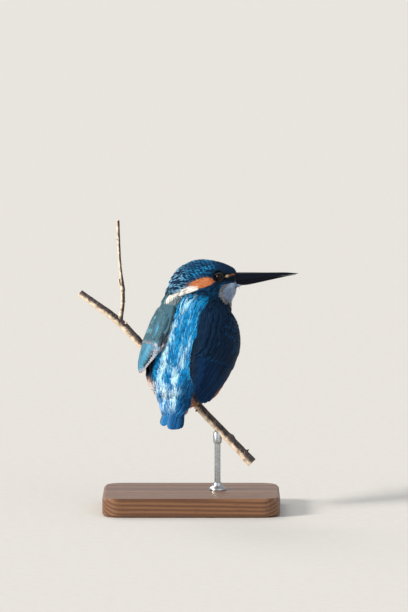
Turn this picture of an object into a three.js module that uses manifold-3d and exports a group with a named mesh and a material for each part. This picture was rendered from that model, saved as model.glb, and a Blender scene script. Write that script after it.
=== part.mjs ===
// A common kingfisher, adult male, life size, perched on a cut length of branch above a display stand.
// Millimetres, +Z up. The origin is the middle of the base's underside. The bird has its back to -Y,
// and its head is turned to its right, so that the bill points along +X.
import * as THREE from "three";
import { mergeVertices } from "three/addons/utils/BufferGeometryUtils.js";
import Module from "manifold-3d";

const wasm = await Module();
wasm.setup();

// ---- Driving dimensions ----
const gap = 0.3; // clearance between neighbouring solids
const perchPoint = new THREE.Vector3(-3.5, 8, 74); // on the branch's centreline, under the body
const bodyYaw = -8; // degrees the body is turned about the vertical, to its right
const bodyLean = 7; // degrees the body leans to its right
const headPlace = new THREE.Vector3(3.3, -5.6, 73.9); // the head's centre in the bird's frame
const headTurn = -82; // degrees the head is turned to the right
const headPitch = 7; // degrees the bill is raised in the bird's frame
const eyeRadius = 3.5;
const toeRadius = 0.95;
const baseSize = { x: 112, y: 84, z: 12, corner: 12, bevel: 1.5 };
const rodRadius = 2;
const rodAlong = 0.735; // share of the branch's length at which the rod meets it
// Facets round and along each kind of shape
const bodySides = 20;
const bodySteps = 14;
const stemSides = 10;
const ballSides = 12;
const slimSides = 8;
const toeSides = 6;
const toeSteps = 9;

// ---- Materials ----
const finish = (name, color, roughness = 0.6, metalness = 0) =>
  new THREE.MeshStandardMaterial({ name, color, roughness, metalness });
const plumageBlue = finish("plumage_blue", 0x1a6f9e, 0.5);
const plumageAzure = finish("plumage_azure", 0x2a9bd6, 0.45);
const plumageWing = finish("plumage_wing", 0x1f5f74, 0.5);
const plumageThigh = finish("plumage_rufous", 0xb4672c, 0.7);
const horn = finish("bill_horn", 0x14151a, 0.35);
const eyeGloss = finish("eye", 0x120c08, 0.08);
const footSkin = finish("foot_skin", 0xc8432a, 0.5);
const clawHorn = finish("claw", 0x2b2320, 0.4);
const bark = finish("bark", 0x6d5142, 0.85);
const baseWood = finish("stand_wood", 0x4a3424, 0.45);
const rodSteel = finish("stand_steel", 0x9a9a98, 0.35, 0.9);

// ---- Making shapes ----

// A smooth function through [place, value] rows, level beyond its ends.
function profile(rows) {
  const last = rows.length - 1;
  const slopeAt = (k) => {
    const before = rows[Math.max(k - 1, 0)];
    const after = rows[Math.min(k + 1, last)];
    return (after[1] - before[1]) / (after[0] - before[0]);
  };
  return (at) => {
    if (at <= rows[0][0]) return rows[0][1];
    if (at >= rows[last][0]) return rows[last][1];
    const i = rows.findIndex((row) => row[0] > at) - 1;
    const [start, from] = rows[i];
    const [end, to] = rows[i + 1];
    const span = end - start;
    const t = (at - start) / span;
    const back = (1 - t) * (1 - t);
    return (
      from * (1 + 2 * t) * back +
      slopeAt(i) * span * t * back +
      to * t * t * (3 - 2 * t) +
      slopeAt(i + 1) * span * t * t * (t - 1)
    );
  };
}

const sideways = new THREE.Vector3(0, 1, 0);

// From 0 at an end to 1 at `reach` from it, along a quarter circle.
const rounded = (distance, reach) => {
  const left = 1 - THREE.MathUtils.clamp(distance / reach, 0, 1);
  return Math.sqrt(1 - left * left);
};

// A closed surface of rings between two end points: place(s, angle) gives a point, s running from 0 to 1.
function ringGeometry(sides, steps, place) {
  const geometry = new THREE.SphereGeometry(1, sides, steps);
  const position = geometry.getAttribute("position");
  for (let ring = 0; ring <= steps; ring++)
    for (let side = 0; side <= sides; side++) {
      const point = place(ring / steps, ((side % sides) / sides) * 2 * Math.PI);
      position.setXYZ(ring * (sides + 1) + side, point.x, point.y, point.z);
    }
  return geometry;
}

// A closed geometry as a solid with its faces pointing out.
function solidOf(geometry, matrix) {
  const bare = geometry.clone();
  bare.deleteAttribute("normal");
  bare.deleteAttribute("uv");
  if (matrix) bare.applyMatrix4(matrix);
  const merged = mergeVertices(bare, 1e-4);
  const vertProperties = merged.getAttribute("position").array;
  const triVerts = new Uint32Array(merged.index.array);
  const make = () =>
    new wasm.Manifold(new wasm.Mesh({ numProp: 3, vertProperties, triVerts }));
  const made = make();
  if (made.volume() > 0) return made;
  for (let i = 0; i < triVerts.length; i += 3)
    [triVerts[i], triVerts[i + 1]] = [triVerts[i + 1], triVerts[i]];
  return make();
}

function geometryOf(solid) {
  const mesh = solid.getMesh();
  const geometry = new THREE.BufferGeometry();
  geometry.setAttribute(
    "position",
    new THREE.BufferAttribute(new Float32Array(mesh.vertProperties), 3),
  );
  geometry.setIndex(new THREE.BufferAttribute(mesh.triVerts, 1));
  geometry.computeVertexNormals();
  return geometry;
}

function ballAt(centre, radius, sides, matrix) {
  const ball = new THREE.SphereGeometry(radius, sides, (sides * 2) / 3);
  ball.translate(centre.x, centre.y, centre.z);
  return solidOf(ball, matrix);
}

// Only the largest piece of a solid, where a cut has left crumbs beside it.
const mainPiece = (solid) =>
  solid.decompose().reduce((a, b) => (a.volume() > b.volume() ? a : b));

// Everything more than half a gap beyond a plane, on the side that its normal points to.
function beyond(point, normal) {
  const size = 400;
  const way = normal.clone().normalize();
  const matrix = new THREE.Matrix4().compose(
    point.clone().addScaledVector(way, size / 2 + gap / 2),
    new THREE.Quaternion().setFromUnitVectors(new THREE.Vector3(0, 0, 1), way),
    new THREE.Vector3(1, 1, 1),
  );
  return solidOf(new THREE.BoxGeometry(size, size, size), matrix);
}

// From 0 to 1 like s, with the steps bunched towards both ends.
const eased = (s) => (1 - Math.cos(Math.PI * s)) / 2;

// From 0 to 1 like s, with a doubled step at both ends, so that the end rings close flat.
const flatEnded = (s, steps) =>
  THREE.MathUtils.clamp((s - 1 / steps) / (1 - 2 / steps), 0, 1);

// A tapered tube along a curve. Its ends are sawn flat, or rounded over `round` millimetres.
// `side` is any direction across the curve: the facets start from it.
function tube(curve, radius, sides, steps, { side = sideways, round } = {}) {
  const length = curve.getLength();
  return solidOf(
    ringGeometry(sides, steps, (s, angle) => {
      const along = round ? eased(s) : flatEnded(s, steps);
      const forward = curve.getTangent(along);
      const out = side.clone().addScaledVector(forward, -side.dot(forward));
      const up = new THREE.Vector3().crossVectors(forward, out.normalize());
      const toEnd = Math.min(along, 1 - along) * length;
      const shape = round ? rounded(toEnd, round) : Number(s > 0 && s < 1);
      return curve
        .getPoint(along)
        .addScaledVector(out, radius(along) * shape * Math.cos(angle))
        .addScaledVector(up, radius(along) * shape * Math.sin(angle));
    }),
  );
}

// ---- The branch: a cut length with one upright twig, sloping down to the right ----
const branchCurve = new THREE.CatmullRomCurve3([
  new THREE.Vector3(-71, 23, 136),
  new THREE.Vector3(-45.8, 18, 118),
  new THREE.Vector3(-33.5, 15, 105.5),
  perchPoint,
  new THREE.Vector3(6, 5.8, 63.5),
  new THREE.Vector3(32, 1, 36.8),
  new THREE.Vector3(38.5, 0, 30),
]);
const branchRadius = profile([[0, 2.3], [0.25, 2.6], [0.5, 2.6], [0.75, 2.8], [1, 3.2]]);
const twigFork = new THREE.Vector3(-45.8, 18, 118);
const twigCurve = new THREE.CatmullRomCurve3([
  twigFork,
  new THREE.Vector3(-43.9, 17.8, 128),
  new THREE.Vector3(-43.8, 17.5, 139),
  new THREE.Vector3(-45.6, 17, 156.6),
  new THREE.Vector3(-46.8, 16.6, 183),
]);
const twigRadius = profile([
  [0, 2.2], [0.12, 1.45], [0.45, 1.3], [0.5, 1.55], [0.55, 1.2], [1, 1],
]);
const branchSteps = 20;
const knotSunk = 0.7; // how deep a knot's middle lies under the bark
// Where a side shoot was shed, or a bud sits: place along the stem, angle round it, size
const branchKnots = [
  { along: 0.33, out: new THREE.Vector3(-0.4, -0.3, 0.8), size: 1.9 },
  { along: 0.78, out: new THREE.Vector3(0.6, -0.3, 0.7), size: 1.8 },
  { along: 0.9, out: new THREE.Vector3(-0.5, -0.6, -0.4), size: 1.7 },
];

function branchSolid(extra = 0) {
  const radius = (s) => branchRadius(s) + extra;
  let solid = tube(branchCurve, radius, stemSides, branchSteps);
  for (const { along, out, size } of branchKnots) {
    const centre = branchCurve
      .getPoint(along)
      .addScaledVector(out.clone().normalize(), branchRadius(along) - knotSunk);
    solid = solid.add(ballAt(centre, size + extra, slimSides));
  }
  return solid;
}
const branch = branchSolid();
const branchClear = branchSolid(gap);

const twigSteps = 13;
// A spur on the twig: the share of the twig's length where it starts, its points from there, its radius
const spur = {
  along: 0.52,
  points: [
    new THREE.Vector3(0, 0, 0),
    new THREE.Vector3(-1.6, -0.4, 2.4),
    new THREE.Vector3(-2.3, -0.5, 5.2),
  ],
  radius: profile([[0, 0.95], [0.6, 0.6], [1, 0.7]]),
  round: 0.6,
};

function twigSolid() {
  const start = twigCurve.getPoint(spur.along);
  const spurCurve = new THREE.CatmullRomCurve3(
    spur.points.map((point) => point.clone().add(start)),
  );
  return mainPiece(
    tube(twigCurve, twigRadius, slimSides, twigSteps)
      .add(tube(spurCurve, spur.radius, toeSides, toeSides, spur))
      .subtract(branchClear),
  );
}

// ---- The bird's frame: its origin is the perch point, +Y the way the body faces ----
const bird = new THREE.Group();
bird.position.copy(perchPoint);
bird.rotation.set(
  0,
  THREE.MathUtils.degToRad(bodyLean),
  THREE.MathUtils.degToRad(bodyYaw),
);
bird.updateMatrix();

const headGroup = new THREE.Group();
headGroup.position.copy(headPlace);
headGroup.rotation.set(
  THREE.MathUtils.degToRad(headPitch),
  0,
  THREE.MathUtils.degToRad(headTurn),
  "ZXY",
);
headGroup.updateMatrix();
bird.add(headGroup);

const rowToBird = bird.matrix.clone().invert().elements;
const branchInBird = branchClear.transform(rowToBird);

// ---- Trunk: level slices from the belly's lowest feathers up into the neck ----
const trunkSpan = { low: -9, high: 68, lowRound: 16, highRound: 14 };
const trunkWidth = profile([
  [-9, 16.5], [0, 21.8], [10, 25], [20, 26.8], [30, 27.2], [40, 25.8], [48, 24], [56, 21],
  [66, 16],
]);
const trunkCentre = profile([[0, 0], [20, 0.9], [40, 2.3], [60, 1.2]]);
const trunkBack = profile([
  [-9, -33], [0, -36.5], [10, -37.5], [20, -36], [30, -32.5], [40, -28.5], [50, -24],
  [60, -19.5],
]);
const trunkFront = profile([
  [-9, -8], [0, -2], [10, 4], [20, 9], [30, 12.5], [40, 13.5], [50, 12], [60, 8.5],
]);

// The trunk's surface at a height. Angle 0 is the bird's right and a quarter turn is its back.
function trunkPoint(height, angle, offset = 0, shape = 1) {
  const back = trunkBack(height);
  const front = trunkFront(height);
  const depth = (front - back) / 2;
  return new THREE.Vector3(
    trunkCentre(height) +
      (trunkWidth(height) * shape + offset) * Math.cos(angle),
    (front + back) / 2 - (depth * shape + offset) * Math.sin(angle),
    height,
  );
}

function trunkSolid(offset = 0) {
  const { low, high, lowRound, highRound } = trunkSpan;
  const place = (s, angle) => {
    const height = THREE.MathUtils.lerp(low, high, eased(s));
    const shape = Math.min(
      rounded(height - low, lowRound),
      rounded(high - height, highRound),
    );
    const point = trunkPoint(height, angle, shape ? offset : 0, shape);
    point.z += offset * (2 * eased(s) - 1);
    return point;
  };
  return solidOf(ringGeometry(bodySides + 2, bodySteps + 2, place));
}

// ---- Neck: a short thick column, wider than deep because the head is turned ----
const neckSpan = { low: 42, high: 82, round: 10 };
const neckMiddle = -5.4; // fore and aft
const neckWidth = profile([[44, 22], [53, 23], [60, 21.6], [66, 20.3], [72, 16.5], [80, 9]]);
const neckDepth = profile([[44, 16], [53, 17], [60, 16.2], [66, 15], [72, 12.5], [80, 8]]);
const neckCentre = profile([[48, 0.3], [60, 1], [66, 2.4], [72, 3.4]]);

function neckSolid(offset = 0) {
  const { low, high, round } = neckSpan;
  const place = (s, angle) => {
    const height = THREE.MathUtils.lerp(low, high, eased(s));
    const shape = rounded(Math.min(height - low, high - height), round);
    const extra = shape ? offset : 0;
    return new THREE.Vector3(
      neckCentre(height) +
        (neckWidth(height) * shape + extra) * Math.cos(angle),
      neckMiddle + (neckDepth(height) * shape + extra) * Math.sin(angle),
      height,
    );
  };
  return solidOf(ringGeometry(bodySides, bodySteps - 4, place));
}

// ---- Head, in its own frame: slices from the nape (-Y) to the forehead and chin (+Y) ----
const headSpan = { low: -22.5, high: 23.5, lowRound: 5, highRound: 5 };
const headTop = profile([
  [-22.5, -4], [-20.5, -0.5], [-18, 3], [-15, 6.4], [-12.4, 8.7], [-8.4, 11], [-3, 12.2],
  [2, 12.2], [7.2, 11.4], [12.3, 9.9], [17.5, 7.6], [22, 5.2],
]);
const headBottom = profile([
  [-22.5, -14], [-12, -16], [0, -16.5], [9, -16.5], [14, -16], [17, -14.2], [19, -11.4],
  [21, -8.8], [23.5, -6.6],
]);
const headWidth = profile([
  [-22.5, 8], [-18, 10.8], [-13, 12.6], [-6, 13.2], [2, 12.6], [8, 11.2], [13, 9.2], [18, 6.9],
  [23, 4.9],
]);

function headSolid() {
  const { low, high, lowRound, highRound } = headSpan;
  const place = (s, angle) => {
    const forward = THREE.MathUtils.lerp(low, high, eased(s));
    const shape = Math.min(
      rounded(forward - low, lowRound),
      rounded(high - forward, highRound),
    );
    const top = headTop(forward);
    const bottom = headBottom(forward);
    return new THREE.Vector3(
      headWidth(forward) * shape * Math.cos(angle),
      forward,
      (top + bottom) / 2 + ((top - bottom) / 2) * shape * Math.sin(angle),
    );
  };
  return solidOf(
    ringGeometry(bodySides, bodySteps + 4, place),
    headGroup.matrix,
  );
}

// ---- Bill, in the head's frame: a dagger in two halves that meet along the gape line ----
const billSteps = 14;
const billSquareness = 0.85; // 1 is an ellipse, less is squarer
const billSpan = { base: 14, upperTip: 59.6, lowerTip: 58.4 };
const billTop = profile([[14, 4.6], [22.7, 4], [31.6, 4], [50, 4.1], [59.6, 3.5]]);
const gapeLine = (forward) => -2.2 + (forward - 18) * 0.128;
const billBottom = profile([
  [14, -3.2], [24, -4.1], [30.5, -4.2], [36.8, -2.1], [50, 0.9], [58.4, 2.5],
]);
const billWidth = profile([[14, 4.6], [22, 4.2], [30, 3.2], [40, 2.2], [50, 1.35], [59.6, 0.55]]);

// Half of the bill. `rise` is how far its outer edge lies from the gape line, signed.
function billHalf(tip, rise, offset = 0) {
  const side = Math.sign(rise(billSpan.base));
  const place = (s, angle) => {
    const along = flatEnded(s, billSteps);
    const forward = THREE.MathUtils.lerp(billSpan.base, tip, along);
    const shape = Number(s > 0 && s < 1);
    const arch = Math.max(0, Math.sin(angle) * side) ** billSquareness;
    const width = (billWidth(forward) + 2 * offset) * shape;
    return new THREE.Vector3(
      width * Math.cos(angle),
      forward + offset * (2 * along - 1),
      gapeLine(forward) +
        side * (gap / 2 - offset) +
        (rise(forward) - side * (gap / 2) + side * 2 * offset) * arch * shape,
    );
  };
  return ringGeometry(stemSides, billSteps, place);
}
const upperRise = (forward) => billTop(forward) - gapeLine(forward);
const lowerRise = (forward) => billBottom(forward) - gapeLine(forward);

// ---- Eyes, in the head's frame ----
const eyePlace = new THREE.Vector3(7.5, 9.4, 1.7);

// ---- Tail: a flat fan of feathers under the rump's long coverts ----
const tailRoot = new THREE.Vector3(0, -27, 15);
const tailTip = new THREE.Vector3(0, -54, -19);
const tailWay = tailTip.clone().sub(tailRoot).normalize();
const tailUp = new THREE.Vector3(0, tailWay.z, -tailWay.y);
const tailLength = tailRoot.distanceTo(tailTip);
const tailCut = 0.36; // share of that length where the trunk ends
const tailRound = 5; // how far from its ends the tail starts to round off
const tailRoof = 0.06; // how far the tail's edges droop, as a share of its half width
const tailWidth = profile([[0, 15], [0.3, 14], [0.55, 11], [0.72, 8.8], [0.9, 8.4], [1, 7.4]]);
const tailThickness = profile([[0, 10], [0.3, 8], [0.5, 5.4], [0.66, 2.8], [0.76, 1.4], [1, 0.9]]);
const tailDepth = profile([[0, 16], [0.3, 13], [0.5, 8.6], [0.66, 4.4], [0.78, 1.8], [1, 0.9]]);

function tailSolid(offset = 0) {
  const place = (s, angle) => {
    const along = eased(s);
    const toEnd = Math.min(along, 1 - along) * tailLength;
    const shape = rounded(toEnd, tailRound);
    const extra = shape ? offset : 0;
    const blunt = Math.sqrt(shape); // keeps the tip's edge about a millimetre thick
    const thickness = Math.sin(angle) > 0 ? tailThickness : tailDepth;
    const droop = tailRoof * Math.cos(angle) ** 2 * tailWidth(along) * shape;
    const rise = (thickness(along) * blunt + extra) * Math.sin(angle) - droop;
    const point = tailRoot
      .clone()
      .addScaledVector(tailWay, along * tailLength + offset * (2 * along - 1))
      .addScaledVector(tailUp, rise);
    point.x += (tailWidth(along) * shape + extra) * Math.cos(angle);
    return point;
  };
  return solidOf(ringGeometry(bodySides - 2, bodySteps, place));
}

// ---- Folded wings: lens-shaped shells that lie along the flanks from shoulder to rump ----
// Shoulder and tip are given as the distance round the body from its side, + to the back, and the
// height. `aft` scales the width behind the axis. The lifts are the clearances from the trunk.
const wings = {
  right: {
    side: 1,
    shoulder: [2, 54],
    tip: [26, -1],
    aft: 1,
    lift: 0.7,
    tipLift: 1,
  },
  left: {
    side: -1,
    shoulder: [0, 52],
    tip: [11, 11],
    aft: 0.85,
    lift: 1.3,
    tipLift: 5,
  },
};
const wingHang = 4; // below this height a wing hangs straight and doesn't follow the belly in
const aroundRadius = 27; // turns a distance round the body into an angle
const wingRound = { shoulder: 11, tip: 9 };
const wingEdge = 0.6; // 1 gives the lens a sharp edge, less a blunter one
const wingFore = profile([[0, 12], [0.2, 15], [0.5, 14], [0.8, 9], [1, 4]]);
const wingAft = profile([[0, 18], [0.2, 26], [0.5, 23], [0.8, 13], [1, 5]]);
const wingThickness = profile([[0, 1.5], [0.25, 2.4], [0.6, 2.3], [0.9, 1.6], [1, 1.2]]);

function wingSolid({ side, shoulder, tip, aft, lift, tipLift }) {
  const start = new THREE.Vector2(...shoulder);
  const end = new THREE.Vector2(...tip);
  const way = end.clone().sub(start).normalize();
  const across = new THREE.Vector2(-way.y, way.x); // towards the back
  const length = start.distanceTo(end);
  const place = (s, angle) => {
    const along = eased(s);
    const shape = Math.min(
      rounded(along * length, wingRound.shoulder),
      rounded((1 - along) * length, wingRound.tip),
    );
    const chord = Math.cos(angle);
    const reach = (chord > 0 ? wingAft(along) * aft : wingFore(along)) * shape;
    const [around, height] = start
      .clone()
      .lerp(end, along)
      .addScaledVector(across, chord * reach);
    const edge = Math.abs(Math.sin(angle)) ** wingEdge * shape;
    const thickness = Math.sin(angle) > 0 ? wingThickness(along) * edge : 0;
    const out = THREE.MathUtils.lerp(lift, tipLift, along ** 2) + thickness;
    const level = Math.max(height, wingHang);
    const point = trunkPoint(level, around / aroundRadius, out);
    const middle = trunkCentre(level);
    return new THREE.Vector3(
      middle + side * (point.x - middle),
      point.y,
      height,
    );
  };
  return solidOf(ringGeometry(bodySides - 2, bodySteps, place));
}

// ---- Legs: feathered thighs, then a foot that grips the branch ----
const feet = {
  right: { side: 1, along: 0.572, thigh: new THREE.Vector3(6.2, -10.8, 1.8) },
  left: { side: -1, along: 0.462, thigh: new THREE.Vector3(-8.4, -8.6, 9) },
};
const thighRadii = new THREE.Vector3(5.8, 5.4, 9);
const thighTilt = 30; // degrees its lower end is swung forward
const ankleDrop = new THREE.Vector3(0, 3, -5.5); // from the thigh's middle
const palmAngle = 122; // degrees round the branch: 0 is away from the bird, 90 is its upper side
// Each toe: where it ends round the branch, and how far it lies along the branch from the foot's middle
const toes = {
  inner: { end: 22, start: -1.2, finish: -3.2 },
  middle: { end: -36, start: 0, finish: -0.6 },
  outer: { end: -22, start: 1.2, finish: 1.7 },
  hind: { end: 226, start: 0.4, finish: 1.2 },
};
const soleRadius = 1.5;
const soleLength = 5.4;
const shankRadius = 1.3;
const clawGapAngle = 4; // degrees between a toe's end and its claw
const claw = { length: 2.2, rootRadius: 0.62, tipRadius: 0.28, sink: 0.55, round: 0.35 };
const knuckleSwell = 0.1; // how much thicker a toe is at its joints

// Directions at a place along the branch: down it, away from the bird, and its upper side.
function branchFrame(along) {
  const centre = branchCurve.getPoint(along);
  const down = branchCurve.getTangent(along);
  const away = sideways.clone().addScaledVector(down, -sideways.dot(down));
  const up = new THREE.Vector3().crossVectors(down, away.normalize());
  return { centre, down, away, up };
}

// A path round the branch from one angle to another, at a distance from its centreline.
function roundBranch(frame, along, radius, from, to, start, finish) {
  const points = [];
  for (let i = 0; i <= toeSteps; i++) {
    const t = i / toeSteps;
    const angle = THREE.MathUtils.degToRad(THREE.MathUtils.lerp(from, to, t));
    const distance = branchRadius(along) + radius(t);
    points.push(
      frame.centre
        .clone()
        .addScaledVector(frame.down, THREE.MathUtils.lerp(start, finish, t))
        .addScaledVector(frame.away, Math.cos(angle) * distance)
        .addScaledVector(frame.up, Math.sin(angle) * distance),
    );
  }
  return new THREE.CatmullRomCurve3(points);
}

// A foot and its claws. `extra` swells the foot, to cut its clearance from its neighbours.
function footSolids({ side, along, thigh }, extra = 0) {
  const frame = branchFrame(along);
  const ankle = thigh.clone().add(ankleDrop).applyMatrix4(bird.matrix);
  const claws = {};
  const soleDistance = branchRadius(along) + gap + soleRadius;
  const soleAngle = THREE.MathUtils.degToRad(palmAngle);
  const palm = frame.centre
    .clone()
    .addScaledVector(frame.away, Math.cos(soleAngle) * soleDistance)
    .addScaledVector(frame.up, Math.sin(soleAngle) * soleDistance);
  const reach = frame.down.clone().multiplyScalar(soleLength / 2);
  const sole = new THREE.LineCurve3(
    palm.clone().sub(reach),
    palm.clone().add(reach),
  );
  const shank = new THREE.LineCurve3(palm, ankle);
  const thick = (radius) => () => radius + extra;
  const soleEnds = { round: soleRadius };
  const shankEnds = { round: shankRadius };
  let foot = tube(sole, thick(soleRadius), slimSides, toeSides, soleEnds).add(
    tube(shank, thick(shankRadius), slimSides, toeSides, shankEnds),
  );
  for (const [name, { end, start, finish }] of Object.entries(toes)) {
    const path = roundBranch(
      frame,
      along,
      () => gap + toeRadius,
      palmAngle,
      end,
      start * side,
      finish * side,
    );
    const knuckles = (s) =>
      toeRadius * (1 + knuckleSwell * Math.cos(s * 6 * Math.PI)) + extra;
    foot = foot.add(
      tube(path, knuckles, toeSides, toeSteps, {
        side: frame.down,
        round: toeRadius * 0.6,
      }),
    );
    // The claw carries on round the branch from the toe's end.
    const turn = THREE.MathUtils.radToDeg(claw.length / branchRadius(along));
    const onward = Math.sign(end - palmAngle);
    const clawStart = end + onward * clawGapAngle;
    const clawPath = roundBranch(
      frame,
      along,
      (t) => gap + toeRadius * (1 - claw.sink * t),
      clawStart,
      clawStart + onward * turn,
      finish * side,
      finish * side,
    );
    const clawRadius = (s) =>
      THREE.MathUtils.lerp(claw.rootRadius, claw.tipRadius, s);
    claws[name] = tube(clawPath, clawRadius, toeSides, toeSides, {
      side: frame.down,
      round: claw.round,
    });
  }
  return { foot, claws };
}

function thighSolid({ side, thigh }, offset = 0) {
  const ball = new THREE.SphereGeometry(1, ballSides, slimSides);
  ball.scale(
    thighRadii.x + offset,
    thighRadii.y + offset,
    thighRadii.z + offset,
  );
  ball.rotateX(THREE.MathUtils.degToRad(thighTilt));
  ball.translate(thigh.x, thigh.y, thigh.z);
  return solidOf(ball);
}

// ---- Putting the bird together ----
const trunkClear = trunkSolid(gap);
const tailWhole = tailSolid();
const tailCutPoint = tailRoot
  .clone()
  .addScaledVector(tailWay, tailCut * tailLength);
const rump = tailWhole.intersect(
  beyond(tailCutPoint, tailWay.clone().negate()),
);
const neckCut = {
  point: new THREE.Vector3(0, 0, 55.5),
  normal: new THREE.Vector3(0, -0.1, 1),
};
const headCut = {
  point: new THREE.Vector3(2, 0, 66.5),
  normal: new THREE.Vector3(-0.2, 0, 1),
};

const inHead = headGroup.matrix;
const billClear = solidOf(
  billHalf(billSpan.upperTip, upperRise, gap),
  inHead,
).add(solidOf(billHalf(billSpan.lowerTip, lowerRise, gap), inHead));
const mirrored = (point) => new THREE.Vector3(-point.x, point.y, point.z);
const eyePlaces = { right: eyePlace, left: mirrored(eyePlace) };

let flesh = trunkSolid().add(neckSolid()).add(headSolid()).add(rump);
flesh = flesh.subtract(billClear).subtract(branchInBird);
for (const place of Object.values(eyePlaces))
  flesh = flesh.subtract(ballAt(place, eyeRadius + gap, ballSides, inHead));
for (const foot of Object.values(feet)) {
  const { foot: footClear, claws } = footSolids(foot, gap);
  flesh = flesh
    .subtract(thighSolid(foot, gap))
    .subtract(footClear.add(claws.hind).transform(rowToBird));
}

const above = ({ point, normal }) => beyond(point, normal);
const below = ({ point, normal }) => beyond(point, normal.clone().negate());
const head = mainPiece(flesh.intersect(above(headCut)));
const neck = mainPiece(
  flesh.intersect(below(headCut)).intersect(above(neckCut)),
);
const trunk = mainPiece(flesh.intersect(below(neckCut)));
const tail = mainPiece(
  tailWhole.intersect(beyond(tailCutPoint, tailWay)).subtract(trunkClear),
);

const group = new THREE.Group();
function addMesh(parent, name, solid, material) {
  const mesh = new THREE.Mesh(geometryOf(solid), material);
  mesh.name = name;
  parent.add(mesh);
  return mesh;
}

addMesh(bird, "head", head, plumageBlue);
addMesh(bird, "neck", neck, plumageBlue);
addMesh(bird, "trunk", trunk, plumageAzure);
addMesh(bird, "tail", tail, plumageAzure);

const wingBlockers = trunkClear
  .add(neckSolid(gap))
  .add(tailSolid(gap))
  .add(branchInBird);
for (const [name, wing] of Object.entries(wings)) {
  let solid = wingSolid(wing).subtract(wingBlockers);
  for (const foot of Object.values(feet))
    solid = solid.subtract(thighSolid(foot, gap));
  addMesh(bird, `wing_${name}`, mainPiece(solid), plumageWing);
}

for (const [name, foot] of Object.entries(feet)) {
  const thigh = mainPiece(
    thighSolid(foot).subtract(branchInBird).subtract(tailSolid(gap)),
  );
  addMesh(bird, `leg_${name}`, thigh, plumageThigh);
  const { foot: made, claws } = footSolids(foot);
  const blockers = thighSolid(foot, gap)
    .transform(bird.matrix.elements)
    .add(branchClear);
  addMesh(group, `foot_${name}`, mainPiece(made.subtract(blockers)), footSkin);
  for (const [toe, solid] of Object.entries(claws)) {
    const clawSolid = mainPiece(solid.subtract(blockers));
    addMesh(group, `claw_${name}_${toe}`, clawSolid, clawHorn);
  }
}

addMesh(
  headGroup,
  "bill_upper",
  solidOf(billHalf(billSpan.upperTip, upperRise)),
  horn,
);
addMesh(
  headGroup,
  "bill_lower",
  solidOf(billHalf(billSpan.lowerTip, lowerRise)),
  horn,
);
for (const [name, place] of Object.entries(eyePlaces)) {
  const eye = ballAt(place, eyeRadius, ballSides);
  addMesh(headGroup, `eye_${name}`, eye, eyeGloss);
}
group.add(bird);

addMesh(group, "perch_branch", branch, bark);
addMesh(group, "perch_twig", twigSolid(), bark);

// ---- Stand: a flat base with rounded corners and one rod up to the branch ----
function baseGeometry() {
  const { x, y, z, corner, bevel } = baseSize;
  const halfX = x / 2 - bevel;
  const halfY = y / 2 - bevel;
  const r = corner - bevel;
  const outline = new THREE.Shape();
  outline.moveTo(-halfX + r, -halfY);
  outline.lineTo(halfX - r, -halfY);
  outline.absarc(halfX - r, -halfY + r, r, -Math.PI / 2, 0);
  outline.absarc(halfX - r, halfY - r, r, 0, Math.PI / 2);
  outline.absarc(-halfX + r, halfY - r, r, Math.PI / 2, Math.PI);
  outline.absarc(-halfX + r, -halfY + r, r, Math.PI, 1.5 * Math.PI);
  const geometry = new THREE.ExtrudeGeometry(outline, {
    depth: z - 2 * bevel,
    bevelThickness: bevel,
    bevelSize: bevel,
    bevelSegments: 1,
    curveSegments: 4,
  });
  geometry.translate(0, 0, bevel);
  return geometry;
}
addMesh(group, "stand_base", solidOf(baseGeometry()), baseWood);

const rodHeight = 90; // before the branch cuts it off
const rodPlace = branchCurve.getPoint(rodAlong);
const rodGeometry = new THREE.CylinderGeometry(
  rodRadius,
  rodRadius,
  rodHeight,
  stemSides,
);
rodGeometry.rotateX(Math.PI / 2);
rodGeometry.translate(
  rodPlace.x,
  rodPlace.y,
  baseSize.z + gap + rodHeight / 2,
);
const rodPieces = solidOf(rodGeometry).subtract(branchClear).decompose();
const rod = rodPieces.reduce((low, piece) =>
  piece.boundingBox().min[2] < low.boundingBox().min[2] ? piece : low,
);
addMesh(group, "stand_rod", rod, rodSteel);

export default group;
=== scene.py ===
import math
import time

import bpy
import numpy as np
from mathutils import Matrix, Vector
from mathutils.bvhtree import BVHTree
from mathutils.kdtree import KDTree


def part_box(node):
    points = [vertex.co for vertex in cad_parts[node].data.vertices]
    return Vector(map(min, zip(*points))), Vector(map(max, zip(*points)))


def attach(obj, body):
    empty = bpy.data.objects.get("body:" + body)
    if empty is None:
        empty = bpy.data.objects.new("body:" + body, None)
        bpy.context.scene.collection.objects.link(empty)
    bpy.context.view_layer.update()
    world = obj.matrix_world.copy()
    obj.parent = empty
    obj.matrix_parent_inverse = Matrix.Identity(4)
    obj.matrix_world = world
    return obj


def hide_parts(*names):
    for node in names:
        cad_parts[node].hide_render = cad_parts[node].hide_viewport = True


# A common kingfisher on a cut length of its branch, held by a small display stand.
# Lengths in the settings are millimetres; meshes are turned into metres as they are made.
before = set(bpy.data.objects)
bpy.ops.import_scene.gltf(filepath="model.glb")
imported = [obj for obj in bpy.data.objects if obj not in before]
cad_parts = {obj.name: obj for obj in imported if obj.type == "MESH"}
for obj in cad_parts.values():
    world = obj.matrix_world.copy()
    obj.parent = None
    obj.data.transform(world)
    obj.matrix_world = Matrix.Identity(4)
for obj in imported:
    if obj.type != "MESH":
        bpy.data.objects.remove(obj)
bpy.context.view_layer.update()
mm = 0.001
dice = np.random.default_rng(41)
clock = time.time()
scene = bpy.context.scene


def report(text):
    print(f"{time.time() - clock:6.1f} s  {text}")


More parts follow.
